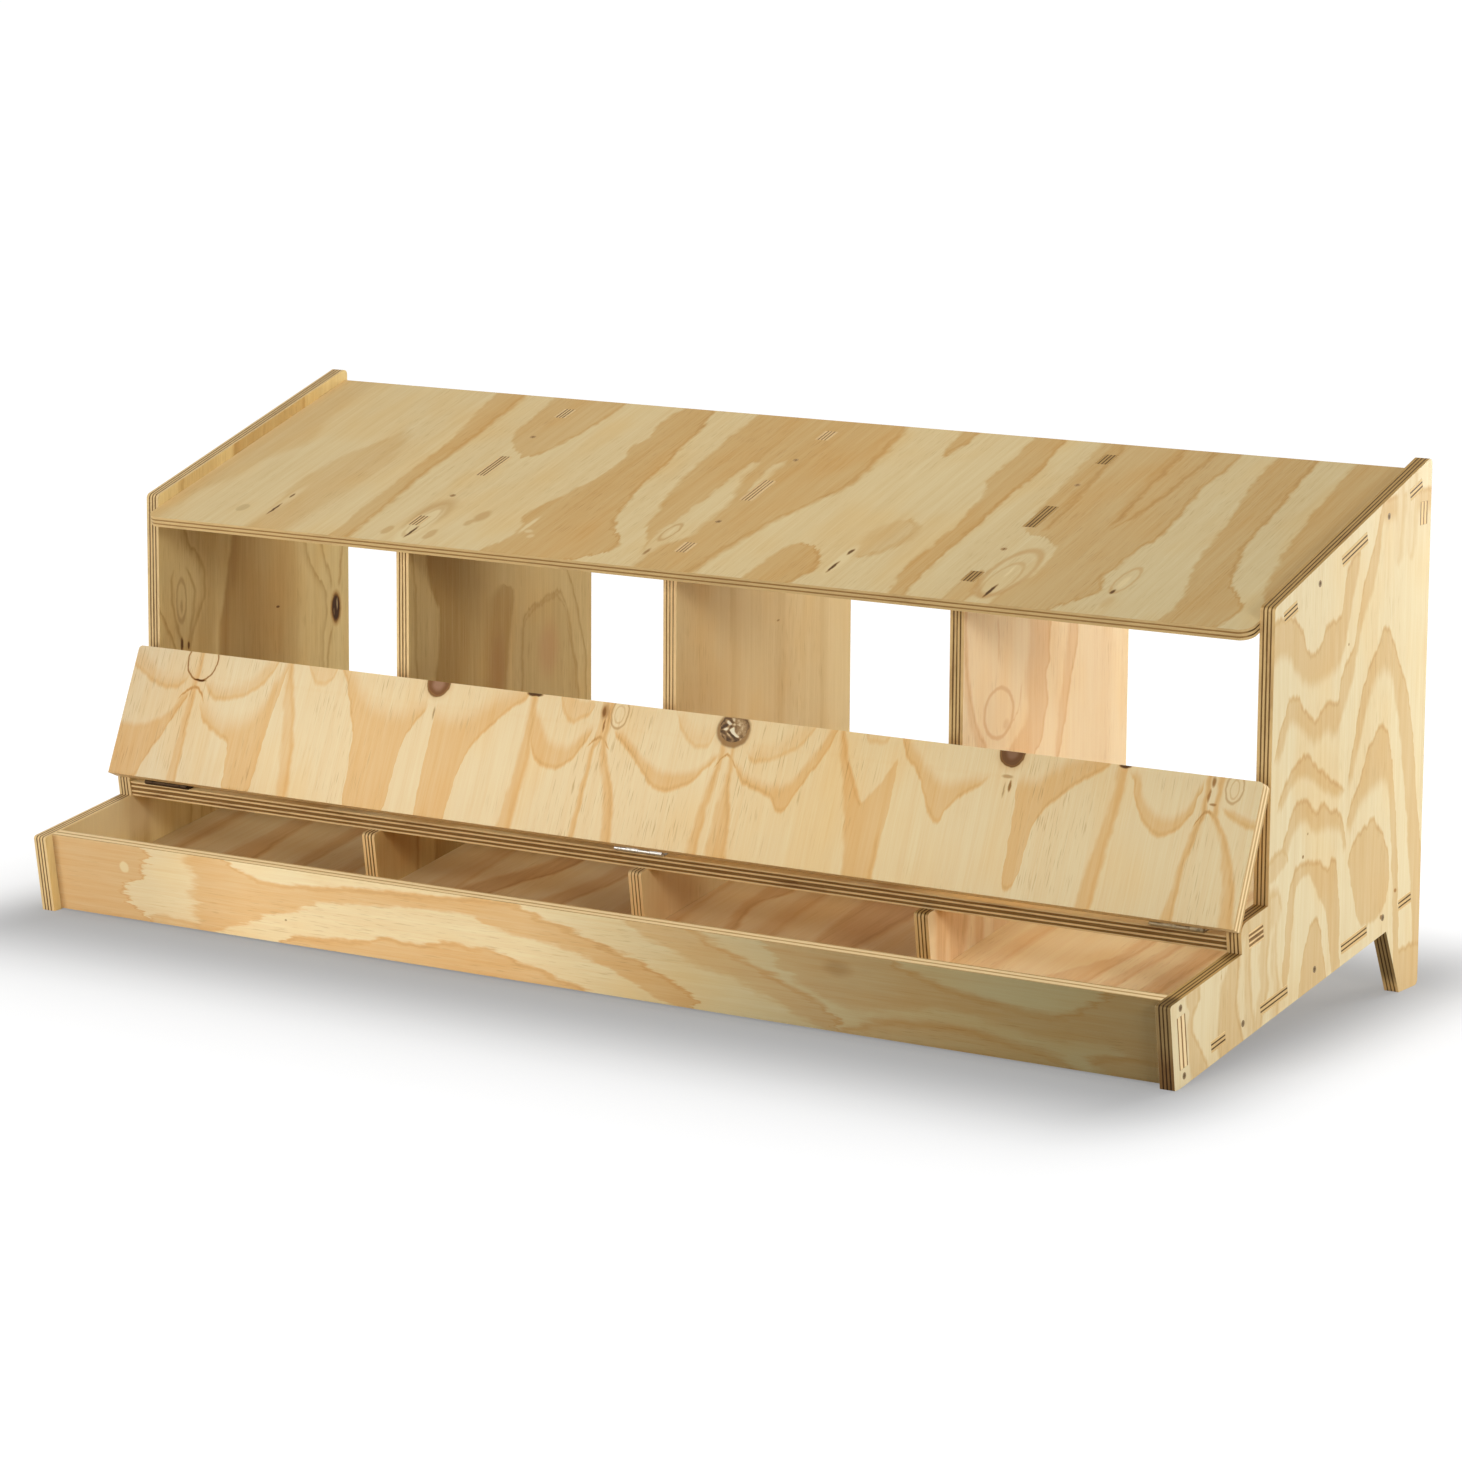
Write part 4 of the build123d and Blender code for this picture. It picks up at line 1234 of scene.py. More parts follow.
# Inner faces: u from front to back, v up from the ground
LEFT_FIGURE = Figure(
    bands=(
        streak((350, -24, 22), (320, -14, 24), (300, 2, 22), (280, 6, 22), (255, 0, 22), (230, -6, 20),
               (60, -6, 20), tone=0.6, near=5, far=8, rim=0),
        streak((350, 50, 150), (320, 46, 150), (290, 40, 148), (262, 33, 150), (235, 28, 152),
               (210, 26, 150), (60, 22, 140), tone=1.0, near=3, far=22, rim=0),
        streak((340, 52, 62), (290, 42, 55), (262, 35, 49), (235, 30, 46), (200, 28, 42), tone=1.4, near=2,
               far=8, rim=0),
        streak((350, -100, -72), (100, -110, -78), (20, -112, -84), tone=0.9, near=4, far=8),
        streak((266, -64, -62), (250, -55, -52.5), (240, -49, -46.5), (230, -43.5, -41), (218, -38, -36),
               tone=1.1, near=4, far=1.2, ends=4),
        streak((300, -42, -40), (290, -46, -43), (275, -46, -43), (255, -41, -38), (238, -35, -32),
               (220, -29, -27), tone=0.95, near=3, far=2, ends=5),
        streak((300, -24, -21), (290, -17, -14), (275, -12, -9), (258, -13, -10), (240, -18, -15),
               (220, -23, -21), tone=0.95, near=3, far=2, ends=5),
        streak((345, -30, -24), (325, -24, -17), (308, -8, -1), (290, 2, 7), (275, 2, 7), (262, -3, 2),
               (248, -10, -6), (232, -17, -13), (215, -21, -18), tone=1.1, near=9, far=2),
        streak((310, 161, 164), (300, 162, 165), (285, 166, 170), (272, 175, 179), (260, 185, 190),
               (248, 193, 197), (230, 195, 198), (205, 189, 192), tone=1.1, near=9, far=1.5),
        streak((310, 186, 189), (298, 188, 191), (285, 192, 195), (270, 199, 202), (255, 204, 206),
               tone=1.05, near=4, far=1.5, ends=5),
        streak((310, 222, 225), (290, 221, 224), (270, 218, 221), (254, 215, 217), tone=0.95, near=2, far=2,
               ends=5),
        streak((214, 205, 207), (196, 199, 202), (170, 196, 199), tone=0.95, near=2, far=2, ends=6),
    ),
    spots=(
        Spot((-30, 270), (7, 20), (190, 152, 98), 0.7, 0.6, 0.25),
        Spot((-30, 264), (2.6, 9), (186, 146, 92), 0.6, 0.6),
        Spot((-30, 227), (2.6, 9), (84, 56, 30), 0.9, 0.6),
        Spot((-20, 225), (2.2, 5), (84, 56, 30), 0.8, 0.6),
        Spot((212, 232), (10, 20), (150, 112, 66), 0.8, 0.5),
        Spot((212, 232), (7.5, 16), (66, 44, 26), 0.95, 0.35),
        Spot((214, 236), (1.6, 8), (186, 156, 112), 0.8, 0.6),
        Spot((209, 228), (1.2, 5), (150, 116, 74), 0.7, 0.6),
        Spot((119, 245), (3.4, 1.5), (84, 56, 30), 0.8, 0.5),
        Spot((-140, 78), (110, 46), (246, 226, 180), 0.6, 0.8),
    ),
    base=0.2,
)
FIRST_FIGURE = Figure(
    bands=(
        streak((345, -59, -56), (300, -54, -51), (260, -54, -51), (232, -52, -49), tone=0.95, near=5,
               far=2),
        streak((350, -36, 44), (330, -34, 46), (310, -30, 46), (296, -22, 46), (284, -15, 46),
               (265, -16, 46), (240, -19, 44), (220, -22, 40), (60, -24, 36), tone=1.25, near=3, far=40,
               rim=0),
        streak((300, 76, 76), (288, 68, 104), (270, 62, 102), (250, 58, 98), (220, 54, 94), (190, 50, 92),
               (60, 46, 90), tone=1.0, near=14, far=3, rim=0),
        band((117, 150, 150), (121, 150, 255), (127, 150, 265), (135, 150, 268), (150, 150, 273),
             (170, 150, 278), (184, 150, 270), (192, 150, 250), (200, 150, 225), (206, 150, 200),
             (210, 150, 150), tone=0.55, near=4, far=2),
        streak((264, 119, 122), (250, 117, 120), (230, 116, 119), (60, 116, 119), tone=1.0, near=5, far=1.6,
               ends=5),
        band((120, 258, 261), (125, 265, 268), (132, 269, 272), (142, 269, 272), (150, 273, 276),
             (165, 278, 281), (178, 278, 281), (187, 268, 271), (192, 256, 259), tone=0.95, near=6, far=2,
             ends=3),
        streak((260, 191, 194), (240, 196, 199), (220, 201, 204), (200, 206, 209), (60, 214, 217),
               tone=0.95, near=6, far=2, ends=4),
        streak((312, 185, 187.5), (298, 191, 193.5), (285, 197, 199.5), (265, 206, 208.5),
               (240, 213, 215.5), (215, 223, 225.5), tone=0.95, near=4, far=1.5),
    ),
    spots=(
        Spot((160, 225), (26, 40), (188, 136, 90), 0.45, 0.8),
        Spot((78, 218), (20, 52), (162, 112, 66), 0.4, 0.8),
        Spot((-88, 66), (64, 50), (226, 208, 190), 1.0, 0.8, way=Blend.SHADE),
    ),
    base=0.25,
)
SECOND_FIGURE = Figure(
    bands=(
        streak((470, -64, 34), (330, -62, 36), (200, -58, 40), (80, -60, 38), tone=0.5, near=8, far=10),
        streak((470, 96, 112), (300, 98, 116), (120, 102, 116), tone=0.4, near=8, far=8),
        streak((470, 168, 186), (300, 170, 188), (120, 174, 190), tone=0.4, near=8, far=8),
    ),
    spots=(
        Spot((106, 288), (3, 1.2), SEAM, 0.5, 0.5),
        Spot((-82, 316), (1.6, 5), SEAM, 0.5, 0.5),
        Spot((-66, 60), (76, 50), (232, 216, 205), 1.0, 0.8, way=Blend.SHADE),
    ),
    base=0.25,
)
THIRD_FIGURE = Figure(
    bands=(
        streak((350, -66, -58), (320, -64, -57), (300, -62, -55), (280, -60, -52), (262, -57, -46),
               (248, -52, -40), (236, -46, -33), (222, -38, -22), tone=0.95, near=4, far=3),
        streak((345, 52, 92), (325, 50, 90), (300, 50, 88), (285, 46, 88), (270, 44, 82), (258, 46, 84),
               (246, 50, 87), (234, 46, 81), (224, 34, 80), (214, 16, 76), (204, 2, 66), (190, -6, 62),
               tone=1.0, near=6, far=1.5),
        streak((320, 122, 137), (300, 119, 138), (285, 116, 136), (262, 112, 128), (240, 107, 122),
               (222, 104, 117), (200, 101, 110), (180, 104, 104), tone=1.0, near=4, far=1.5),
        streak((320, 168, 200), (280, 166, 206), (230, 168, 204), (180, 170, 200), tone=0.5, near=8, far=10,
               rim=0),
        streak((330, -6, -3), (310, -5, -2), (295, -4, -1), tone=0.6, near=1.5, far=1.5, ends=6),
        streak((268, 38, 40), (250, 33, 35), (238, 24, 26), (230, 12, 14), tone=0.7, near=1.5, far=1.5,
               ends=6),
        streak((150, -106, -46), (90, -105, -46), (40, -102, -56), (-30, -98, -60), tone=1.3, near=5, far=8,
               rim=0.2, ends=20),
        streak((66, -87, -81), (40, -87, -78), (-30, -86, -76), tone=0.6, near=3, far=3, rim=0, ends=8),
    ),
    spots=(
        Spot((-1, 248), (25, 22), (222, 182, 134), 0.8, 0.6, 0.14),
        Spot((12, 236), (8, 7), (216, 170, 120), 0.4, 0.7),
    ),
    base=0.15,
)
FLOOR_FIGURE = Figure(
    bands=(
        streak((330, -570, -556), (200, -562, -548), (100, -560, -545), tone=0.9, near=4, far=6),
        streak((330, -498, -474), (250, -494, -470), (200, -492, -466), (150, -496, -458), tone=1.3, near=5,
               far=4),
        streak((330, -424, -404), (250, -420, -402), (150, -416, -398), tone=1.1, near=5, far=3),
        streak((330, -372, -352), (200, -364, -346), (100, -360, -340), tone=0.8, near=5, far=4),
        streak((330, -262, -238), (250, -252, -230), (200, -250, -226), (150, -256, -222), tone=0.8, near=6,
               far=4),
        streak((330, -182, -150), (250, -182, -152), (215, -192, -158), (185, -206, -172),
               (150, -222, -184), tone=1.4, near=6, far=3),
        streak((330, -124, -92), (250, -112, -88), (200, -116, -92), (150, -132, -104), tone=1.2, near=5,
               far=3),
        streak((330, -60, -42), (150, -50, -30), tone=0.8, near=5, far=4),
        streak((330, -10, 8), (250, -2, 14), (150, 6, 22), tone=0.8, near=5, far=4),
        streak((330, 44, 72), (250, 50, 80), (210, 52, 66), (150, 70, 82), tone=1.3, near=5, far=3),
        streak((330, 92, 112), (200, 96, 118), (150, 100, 124), tone=0.8, near=5, far=5),
        streak((330, 150, 222), (250, 154, 218), (200, 158, 214), (150, 164, 210), tone=1.3, near=4, far=6),
        streak((330, 336, 352), (200, 330, 350), (150, 326, 350), tone=0.6, near=6, far=6),
        streak((330, 430, 446), (260, 432, 450), (220, 434, 448), (190, 422, 444), (150, 400, 440),
               tone=1.0, near=4, far=3),
        streak((330, 470, 480), (220, 462, 474), (150, 452, 468), tone=0.9, near=3, far=3),
        streak((330, 496, 520), (200, 492, 512), (150, 490, 510), tone=1.0, near=4, far=4),
    ),
    base=0.2,
)

# Tints multiplied into the veneer along the length of boards: the lid is darker towards both ends, the roof
# towards its right end, and on the floor and the front board the tints are partly painted shade
LID_SHIFT = (
    (-600.0, (230, 232, 240)),
    (-440.0, (246, 248, 252)),
    (-330.0, (253, 253, 254)),
    (0.0, (255, 255, 255)),
    (190.0, (252, 249, 241)),
    (250.0, (251, 248, 240)),
    (320.0, (248, 248, 246)),
    (600.0, (241, 243, 243)),
)
ROOF_SHIFT = ((-600.0, (255, 255, 255)), (100.0, (254, 254, 253)), (450.0, (241, 243, 244)),
              (600.0, (238, 241, 242)))
# Floor: darker and browner under the three left nests than under the right one, partly its own tone and
# partly painted shade
FLOOR_TINT_AND_PAINTED_SHADE = (
    (-600.0, (226, 219, 206)),
    (0.0, (224, 213, 198)),
    (270.0, (228, 216, 202)),
    (330.0, (253, 252, 250)),
    (600.0, (254, 254, 253)),
)
# Front board: browner and darker towards the right, partly its own browner veneer and partly painted shade
FRONT_TINT_AND_PAINTED_SHADE = (
    (-600.0, (225, 222, 216)),
    (-480.0, (228, 225, 219)),
    (-360.0, (255, 255, 252)),
    (-50.0, (255, 254, 248)),
    (120.0, (222, 220, 208)),
    (260.0, (195, 193, 180)),
    (460.0, (170, 170, 153)),
    (600.0, (153, 151, 135)),
)

# Darker patches low on the front edges of the right side and of its foot: u from front to back, v up from
# the ground
LOW_EDGE_DARKENING = (
    Spot((-227, 36), (22, 72), (165, 162, 154), 1.0, 0.4, way=Blend.SHADE),
    Spot((-222, 10), (16, 34), (212, 190, 174), 0.9, 0.8, way=Blend.SHADE),
    Spot((170, 26), (28, 50), (158, 156, 148), 1.0, 0.4, way=Blend.SHADE),
)

# Layers on the edges, from board to board; a top colour darkens the cuts that face up as painted shade
RAIL_PLIES = Plies((126, 92, 50), (226, 196, 142), (0.22, 0.46, 0.78), 0.4)
PALE_PLIES = Plies((104, 76, 40), (219, 188, 135))
BRIGHT_PLIES = Plies((115, 84, 44), (242, 208, 150), top=(230, 230, 230))
MELLOW_PLIES = Plies((120, 88, 46), (238, 202, 145), (0.08, 0.42, 0.58), top=(234, 234, 234))
FRONT_PLIES = Plies((176, 142, 92), (230, 204, 156), (0.16, 0.78), stain=0.0, flank=(126, 92, 48))
BACK_PLIES = Plies((104, 76, 40), (226, 194, 140), (0.14, 0.76))
LID_PLIES = Plies((186, 152, 100), (232, 206, 158), (0.2, 0.6), stain=0.0)
WALL_PLIES = Plies((108, 80, 44), (221, 185, 126), stain=0.35, top=(203, 195, 174))
THIN_PLIES = Plies((150, 114, 66), (208, 177, 122), (-0.1, 0.24, 0.54), flank=(80, 56, 26))

LID_BOARD = Board(
    "tray_lid", Lay.FLAT, Way.V, tilt=-112.972, datum=(0.0, 63.0), shown=-1, figure=LID_FIGURE,
    veneer=Veneer((239, 219, 175), (228, 185, 124), LID_SHIFT, 11.0), plies=LID_PLIES,
    fray=7.0, pores=0.55,
)
SHELL_BOARDS = (
    Board(
        "side_panel_right", Lay.UPRIGHT, Way.V, figure=RIGHT_FIGURE,
        veneer=Veneer((217, 203, 165), (198, 167, 116), seed=21.0), plies=WALL_PLIES,
        edge_darkening=LOW_EDGE_DARKENING, ripple=8.0,
    ),
    # The left side's veneer is partly darkened as painted shade, for its dim inner face in the first nest
    Board(
        "side_panel_left", Lay.UPRIGHT, Way.V, figure=LEFT_FIGURE,
        veneer=Veneer((238, 213, 150), (203, 167, 105), seed=31.0), plies=PALE_PLIES,
    ),
    Board(
        "roof_panel", Lay.FLAT, Way.V, 10.0, 18.0, (0.0, -171.0), figure=ROOF_FIGURE,
        veneer=Veneer((217, 196, 149), (196, 158, 99), ROOF_SHIFT, 41.0), plies=THIN_PLIES,
        fray=30.0, ripple=11.0,
    ),
    Board(
        "floor_panel", Lay.FLAT, Way.V, 10.0, 9.0, (0.0, 243.0), figure=FLOOR_FIGURE,
        veneer=Veneer((254, 237, 193), (238, 203, 152), FLOOR_TINT_AND_PAINTED_SHADE, 51.0), plies=THIN_PLIES,
    ),
    Board(
        "front_board", Lay.FACING, Way.U, tilt=9.0, datum=(0.0, 36.5), shown=-1, figure=FRONT_FIGURE,
        veneer=Veneer((246, 229, 187), (230, 186, 128), FRONT_TINT_AND_PAINTED_SHADE, 61.0), plies=FRONT_PLIES,
        fray=60.0, streaks=0.8,
    ),
    Board(
        "hinge_rail", Lay.FLAT, Way.U, tilt=9.0, datum=(0.0, 25.0),
        veneer=Veneer(seed=71.0), plies=RAIL_PLIES,
    ),
    Board(
        "back_rail", Lay.FACING, Way.U,
        veneer=Veneer((212, 188, 140), (194, 157, 100), seed=81.0), plies=BACK_PLIES,
    ),
    # The dividers' veneers lighten from the left divider to the right one, partly their own tone and partly
    # painted light and shade
    Board(
        "divider_left", Lay.UPRIGHT, Way.V, figure=FIRST_FIGURE,
        veneer=Veneer((216, 190, 133), (181, 148, 90), seed=91.0), plies=BRIGHT_PLIES,
    ),
    Board(
        "divider_middle", Lay.UPRIGHT, Way.V, figure=SECOND_FIGURE,
        veneer=Veneer((226, 202, 150), (204, 173, 120), seed=101.0), plies=MELLOW_PLIES,
    ),
    Board(
        "divider_right", Lay.UPRIGHT, Way.V, figure=THIRD_FIGURE,
        veneer=Veneer((243, 223, 184), (228, 193, 147), seed=111.0), plies=WALL_PLIES,
    ),
)

# The three hinges are alike: the left one's dark colour is painted shade and the middle one's bright colour
# is a painted highlight
HINGE_METALS = {
    "left": Metal("hinge_painted_shade", (72, 56, 40), (44, 34, 26), 0.45),
    "middle": Metal("hinge_painted_highlight", (196, 194, 188), (132, 128, 120), 0.25),
    "right": Metal("dull_hinge", (164, 148, 118), (110, 96, 72), 0.4),
}
SCREW_STEEL = Metal("dull_screw", (138, 114, 78), (90, 72, 48), 0.5, 0.35)
SUNK_STEEL = Metal("sunk_screw", (176, 142, 92), (110, 84, 50), 0.7, 0.0)


@dataclass
class Shell:
    """Side panels, roof, floor, front board, rails and dividers.

    Attributes:
        boards: the boards, in the order in which they are dressed.
    """

    boards: tuple[Board, ...] = SHELL_BOARDS

    def dress(self) -> None:
        """Gives each board its finish."""
        for board in self.boards:
            board.dress()


@dataclass(frozen=True)
class BarkKnot:
    """Rough bark left in a knot at the free edge of the lid.

    Attributes:
        middle: face coordinates of its middle, in millimetres.
        half: half sizes along u and v.
        crest: height of the tallest flake above the face.
        pressed: height left where the shut lid rests on the front board.
        rest: distance from the free edge at which the lid starts to rest there.
        slope: distance over which the flakes sink to that height.
        gap: share of the pressed height that is left in the gaps between flakes.
        sunk: depth of its flat back inside the board.
        tuck: depth by which the rim sinks into the board.
        margin: distance kept from the free edge.
        steep: how steep the sides of the flakes are.
        bare: height of the stretch without flakes, from 0 to 1.
        least: height of the gaps between flakes.
        fall: power of the reach by which the flakes sink towards the rim.
        dip: power of the reach by which the rim sinks into the board.
        rings: steps from the middle to the rim.
        spokes: steps around.
    """

    middle: tuple[float, float] = (80.0, 10.5)
    half: tuple[float, float] = (17.0, 14.5)
    crest: float = 1.3
    pressed: float = 0.09
    rest: float = 9.2
    slope: float = 3.0
    gap: float = 0.45
    sunk: float = 0.6
    tuck: float = 0.25
    margin: float = 0.6
    steep: float = 2.6
    bare: float = 0.5
    least: float = 0.05
    fall: int = 6
    dip: int = 8
    rings: int = 30
    spokes: int = 84

    def flakes(self, reach: np.ndarray, angle: np.ndarray) -> np.ndarray:
        """Height of the flakes from 0 to 1.

        Two sine waves run over the face in crossed directions and bend each other; their product is squared
        off so that it forms plates with gaps between them. Towards one side the plates are torn off down to
        a bare level, and a high power of the reach takes the height to nothing at the rim.

        Args:
            reach: distance from the middle as a share of the half size.
            angle: direction from the middle in radians.

        Returns:
            Height at each point, 0 at the rim.
        """
        u = reach * np.cos(angle)
        v = reach * np.sin(angle)
        first = np.sin(7.0 * u + 2.0 * v + 1.9 * np.sin(5.0 * v + 1.0) + 0.8 * np.cos(11.0 * u * v + 2.0))
        second = np.cos(3.0 * u - 8.5 * v + 2.1 * np.sin(4.0 * u + 0.5) + 0.9 * np.sin(9.0 * v - 3.0 * u))
        plates = 0.5 + 0.5 * np.tanh(self.steep * (0.8 * first * second + 0.3 * second - 0.1))
        kept = np.clip(0.75 - 1.1 * u + 0.75 * v, 0.0, 1.0)
        level = plates * kept + self.bare * (1.0 - kept) + self.least
        return np.clip(level, 0.0, 1.0) * (1.0 - reach**self.fall)

    def relief(self, v: np.ndarray, lift: np.ndarray) -> np.ndarray:
        """Height above the face: the flakes near the free edge, blending into a skin where the lid rests.

        Args:
            v: distance from the free edge.
            lift: height of the flakes from 0 to 1.

        Returns:
            Height at each point, in millimetres.
        """
        free = np.clip((self.rest - v) / self.slope, 0.0, 1.0)
        skin = self.pressed * (self.gap + (1.0 - self.gap) * lift)
        return self.crest * lift * free + skin * (1.0 - free)

    def build(self) -> bpy.types.Object:
        """Builds the dome on a polar grid.

        Each ring is an ellipse shrunk towards the middle; the height above the face is the crest times the
        flakes near the free edge, and a thin skin where the shut lid rests on the front board, less a
        little so that the rim sinks into the board; a flat back closes it inside the board.

        Returns:
            The knot, riding on the lid.
        """
        reach, angle = np.meshgrid(
            np.linspace(0.0, 1.0, self.rings + 1)[1:],
            np.linspace(0.0, 2.0 * np.pi, self.spokes, endpoint=False),
            indexing="ij",
        )
        lift = self.flakes(reach, angle)
        u = self.middle[0] + self.half[0] * reach * np.cos(angle)
        v = np.maximum(self.middle[1] + self.half[1] * reach * np.sin(angle), self.margin)
        height = self.relief(v, lift) - self.tuck * reach**self.dip
        top = self.flakes(np.zeros(1), np.zeros(1))
        crown = self.relief(np.array([self.middle[1]]), top)
        u = np.concatenate([[self.middle[0]], u.ravel(), [self.middle[0]]])
        v = np.concatenate([[self.middle[1]], v.ravel(), [self.middle[1]]])
        height = np.concatenate([crown, height.ravel(), [-self.sunk]])
        faces = self.faces()
        points = LID_BOARD.points(u, v, height)
        mesh = bpy.data.meshes.new("bark_knot")
        mesh.from_pydata(points.tolist(), [], faces)
        shade = mesh.attributes.new("lift", "FLOAT", "POINT")
        shade.data.foreach_set("value", np.concatenate([top, lift.ravel(), [0.0]]))
        mesh.polygons.foreach_set("use_smooth", np.ones(len(faces), bool))
        knot = bpy.data.objects.new("bark_knot", mesh)
        bpy.context.scene.collection.objects.link(knot)
        mesh.materials.append(self.finish())
        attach(knot, "lid")
        LOG.info("built %s", knot.name)
        return knot

    def faces(self) -> list[list[int]]:
        """Joins the points of the polar grid: a fan at the crown, rings of quads, and a fan at the back.

        Returns:
            The points of each face, by number.
        """
        around = np.arange(self.spokes)
        after = np.roll(around, -1)
        inner = 1 + np.arange(self.rings - 1)[:, None] * self.spokes
        outer = inner + self.spokes
        quads = np.stack([inner + around, inner + after, outer + after, outer + around], -1)
        rim = 1 + (self.rings - 1) * self.spokes
        back = rim + self.spokes
        crown = np.stack([np.zeros_like(around), 1 + after, 1 + around], -1)
        base = np.stack([np.full_like(around, back), rim + around, rim + after], -1)
        return crown.tolist() + quads.reshape(-1, 4).tolist() + base.tolist()

    def finish(self) -> bpy.types.Material:
        """Makes the bark.

        Returns:
            Dark gaps between pale flakes, by height.
        """
        material = bpy.data.materials.new("bark")
        wiring = Wiring(material)
        lift = wiring.add("Attribute", attribute_name="lift").outputs["Fac"]
        level = wiring.sway(lift, GRIT.lay(wiring), GRIT_REACH)
        wiring.surface({"Base Color": wiring.ramp(level, BARK_STOPS), "Roughness": BARK_ROUGH})
        return material


@dataclass
class TrayLid:
    """Hinged lid of the egg tray, with the bark in one of its knots.

    Attributes:
        board: the lid itself.
        knot: the bark.
    """

    board: Board = LID_BOARD
    knot: BarkKnot = BarkKnot()

    def dress(self) -> None:
        """Gives the lid its finish and sets the bark in it."""
        self.board.dress()
        self.knot.build()


@dataclass
class Hardware:
    """Hinges and screws.

    Attributes:
        hinge_parts: pieces of each hinge.
        screw_groups: screws of dull steel.
        sunk_group: screws that sit deep in the roof.
    """

    hinge_parts: tuple[str, ...] = ("rail_leaf", "lid_leaf", "pin")
    screw_groups: tuple[str, ...] = (
        "hinge_rail_screws",
        "hinge_lid_screws",
        "front_board_screws",
        "floor_end_screws",
        "roof_end_screws",
        "floor_divider_screws",
    )
    sunk_group: str = "roof_divider_screws"

    def dress(self) -> None:
        """Gives the hinges and screws their metals."""
        for side, metal in HINGE_METALS.items():
            finish = metal.finish()
            for part in self.hinge_parts:
                coat_node(f"hinge_{side}_{part}", finish)
        steel = SCREW_STEEL.finish()
        for group in self.screw_groups:
            coat_node(group, steel)
        coat_node(self.sunk_group, SUNK_STEEL.finish())


@dataclass(frozen=True)
class Lamp:
    """Square soft lamp.

    Attributes:
        name: what it is for.
        place: where it stands, in metres.
        aim: what it points at.
        width: side of its square.
        power: watts.
    """

    name: str
    place: tuple[float, float, float]
    aim: tuple[float, float, float]
    width: float
    power: float

    def hang(self) -> None:
        """Adds the lamp to the scene."""
        data = bpy.data.lights.new(self.name, "AREA")
        data.shape = "SQUARE"
        data.size = self.width
        data.energy = self.power
        lamp = bpy.data.objects.new(self.name, data)
        lamp.location = self.place
        lamp.rotation_mode = "QUATERNION"
        lamp.rotation_quaternion = (Vector(self.aim) - Vector(self.place)).to_track_quat("-Z", "Y")
        lamp.visible_camera = False
        bpy.context.scene.collection.objects.link(lamp)
        LOG.info("hung lamp %s", self.name)


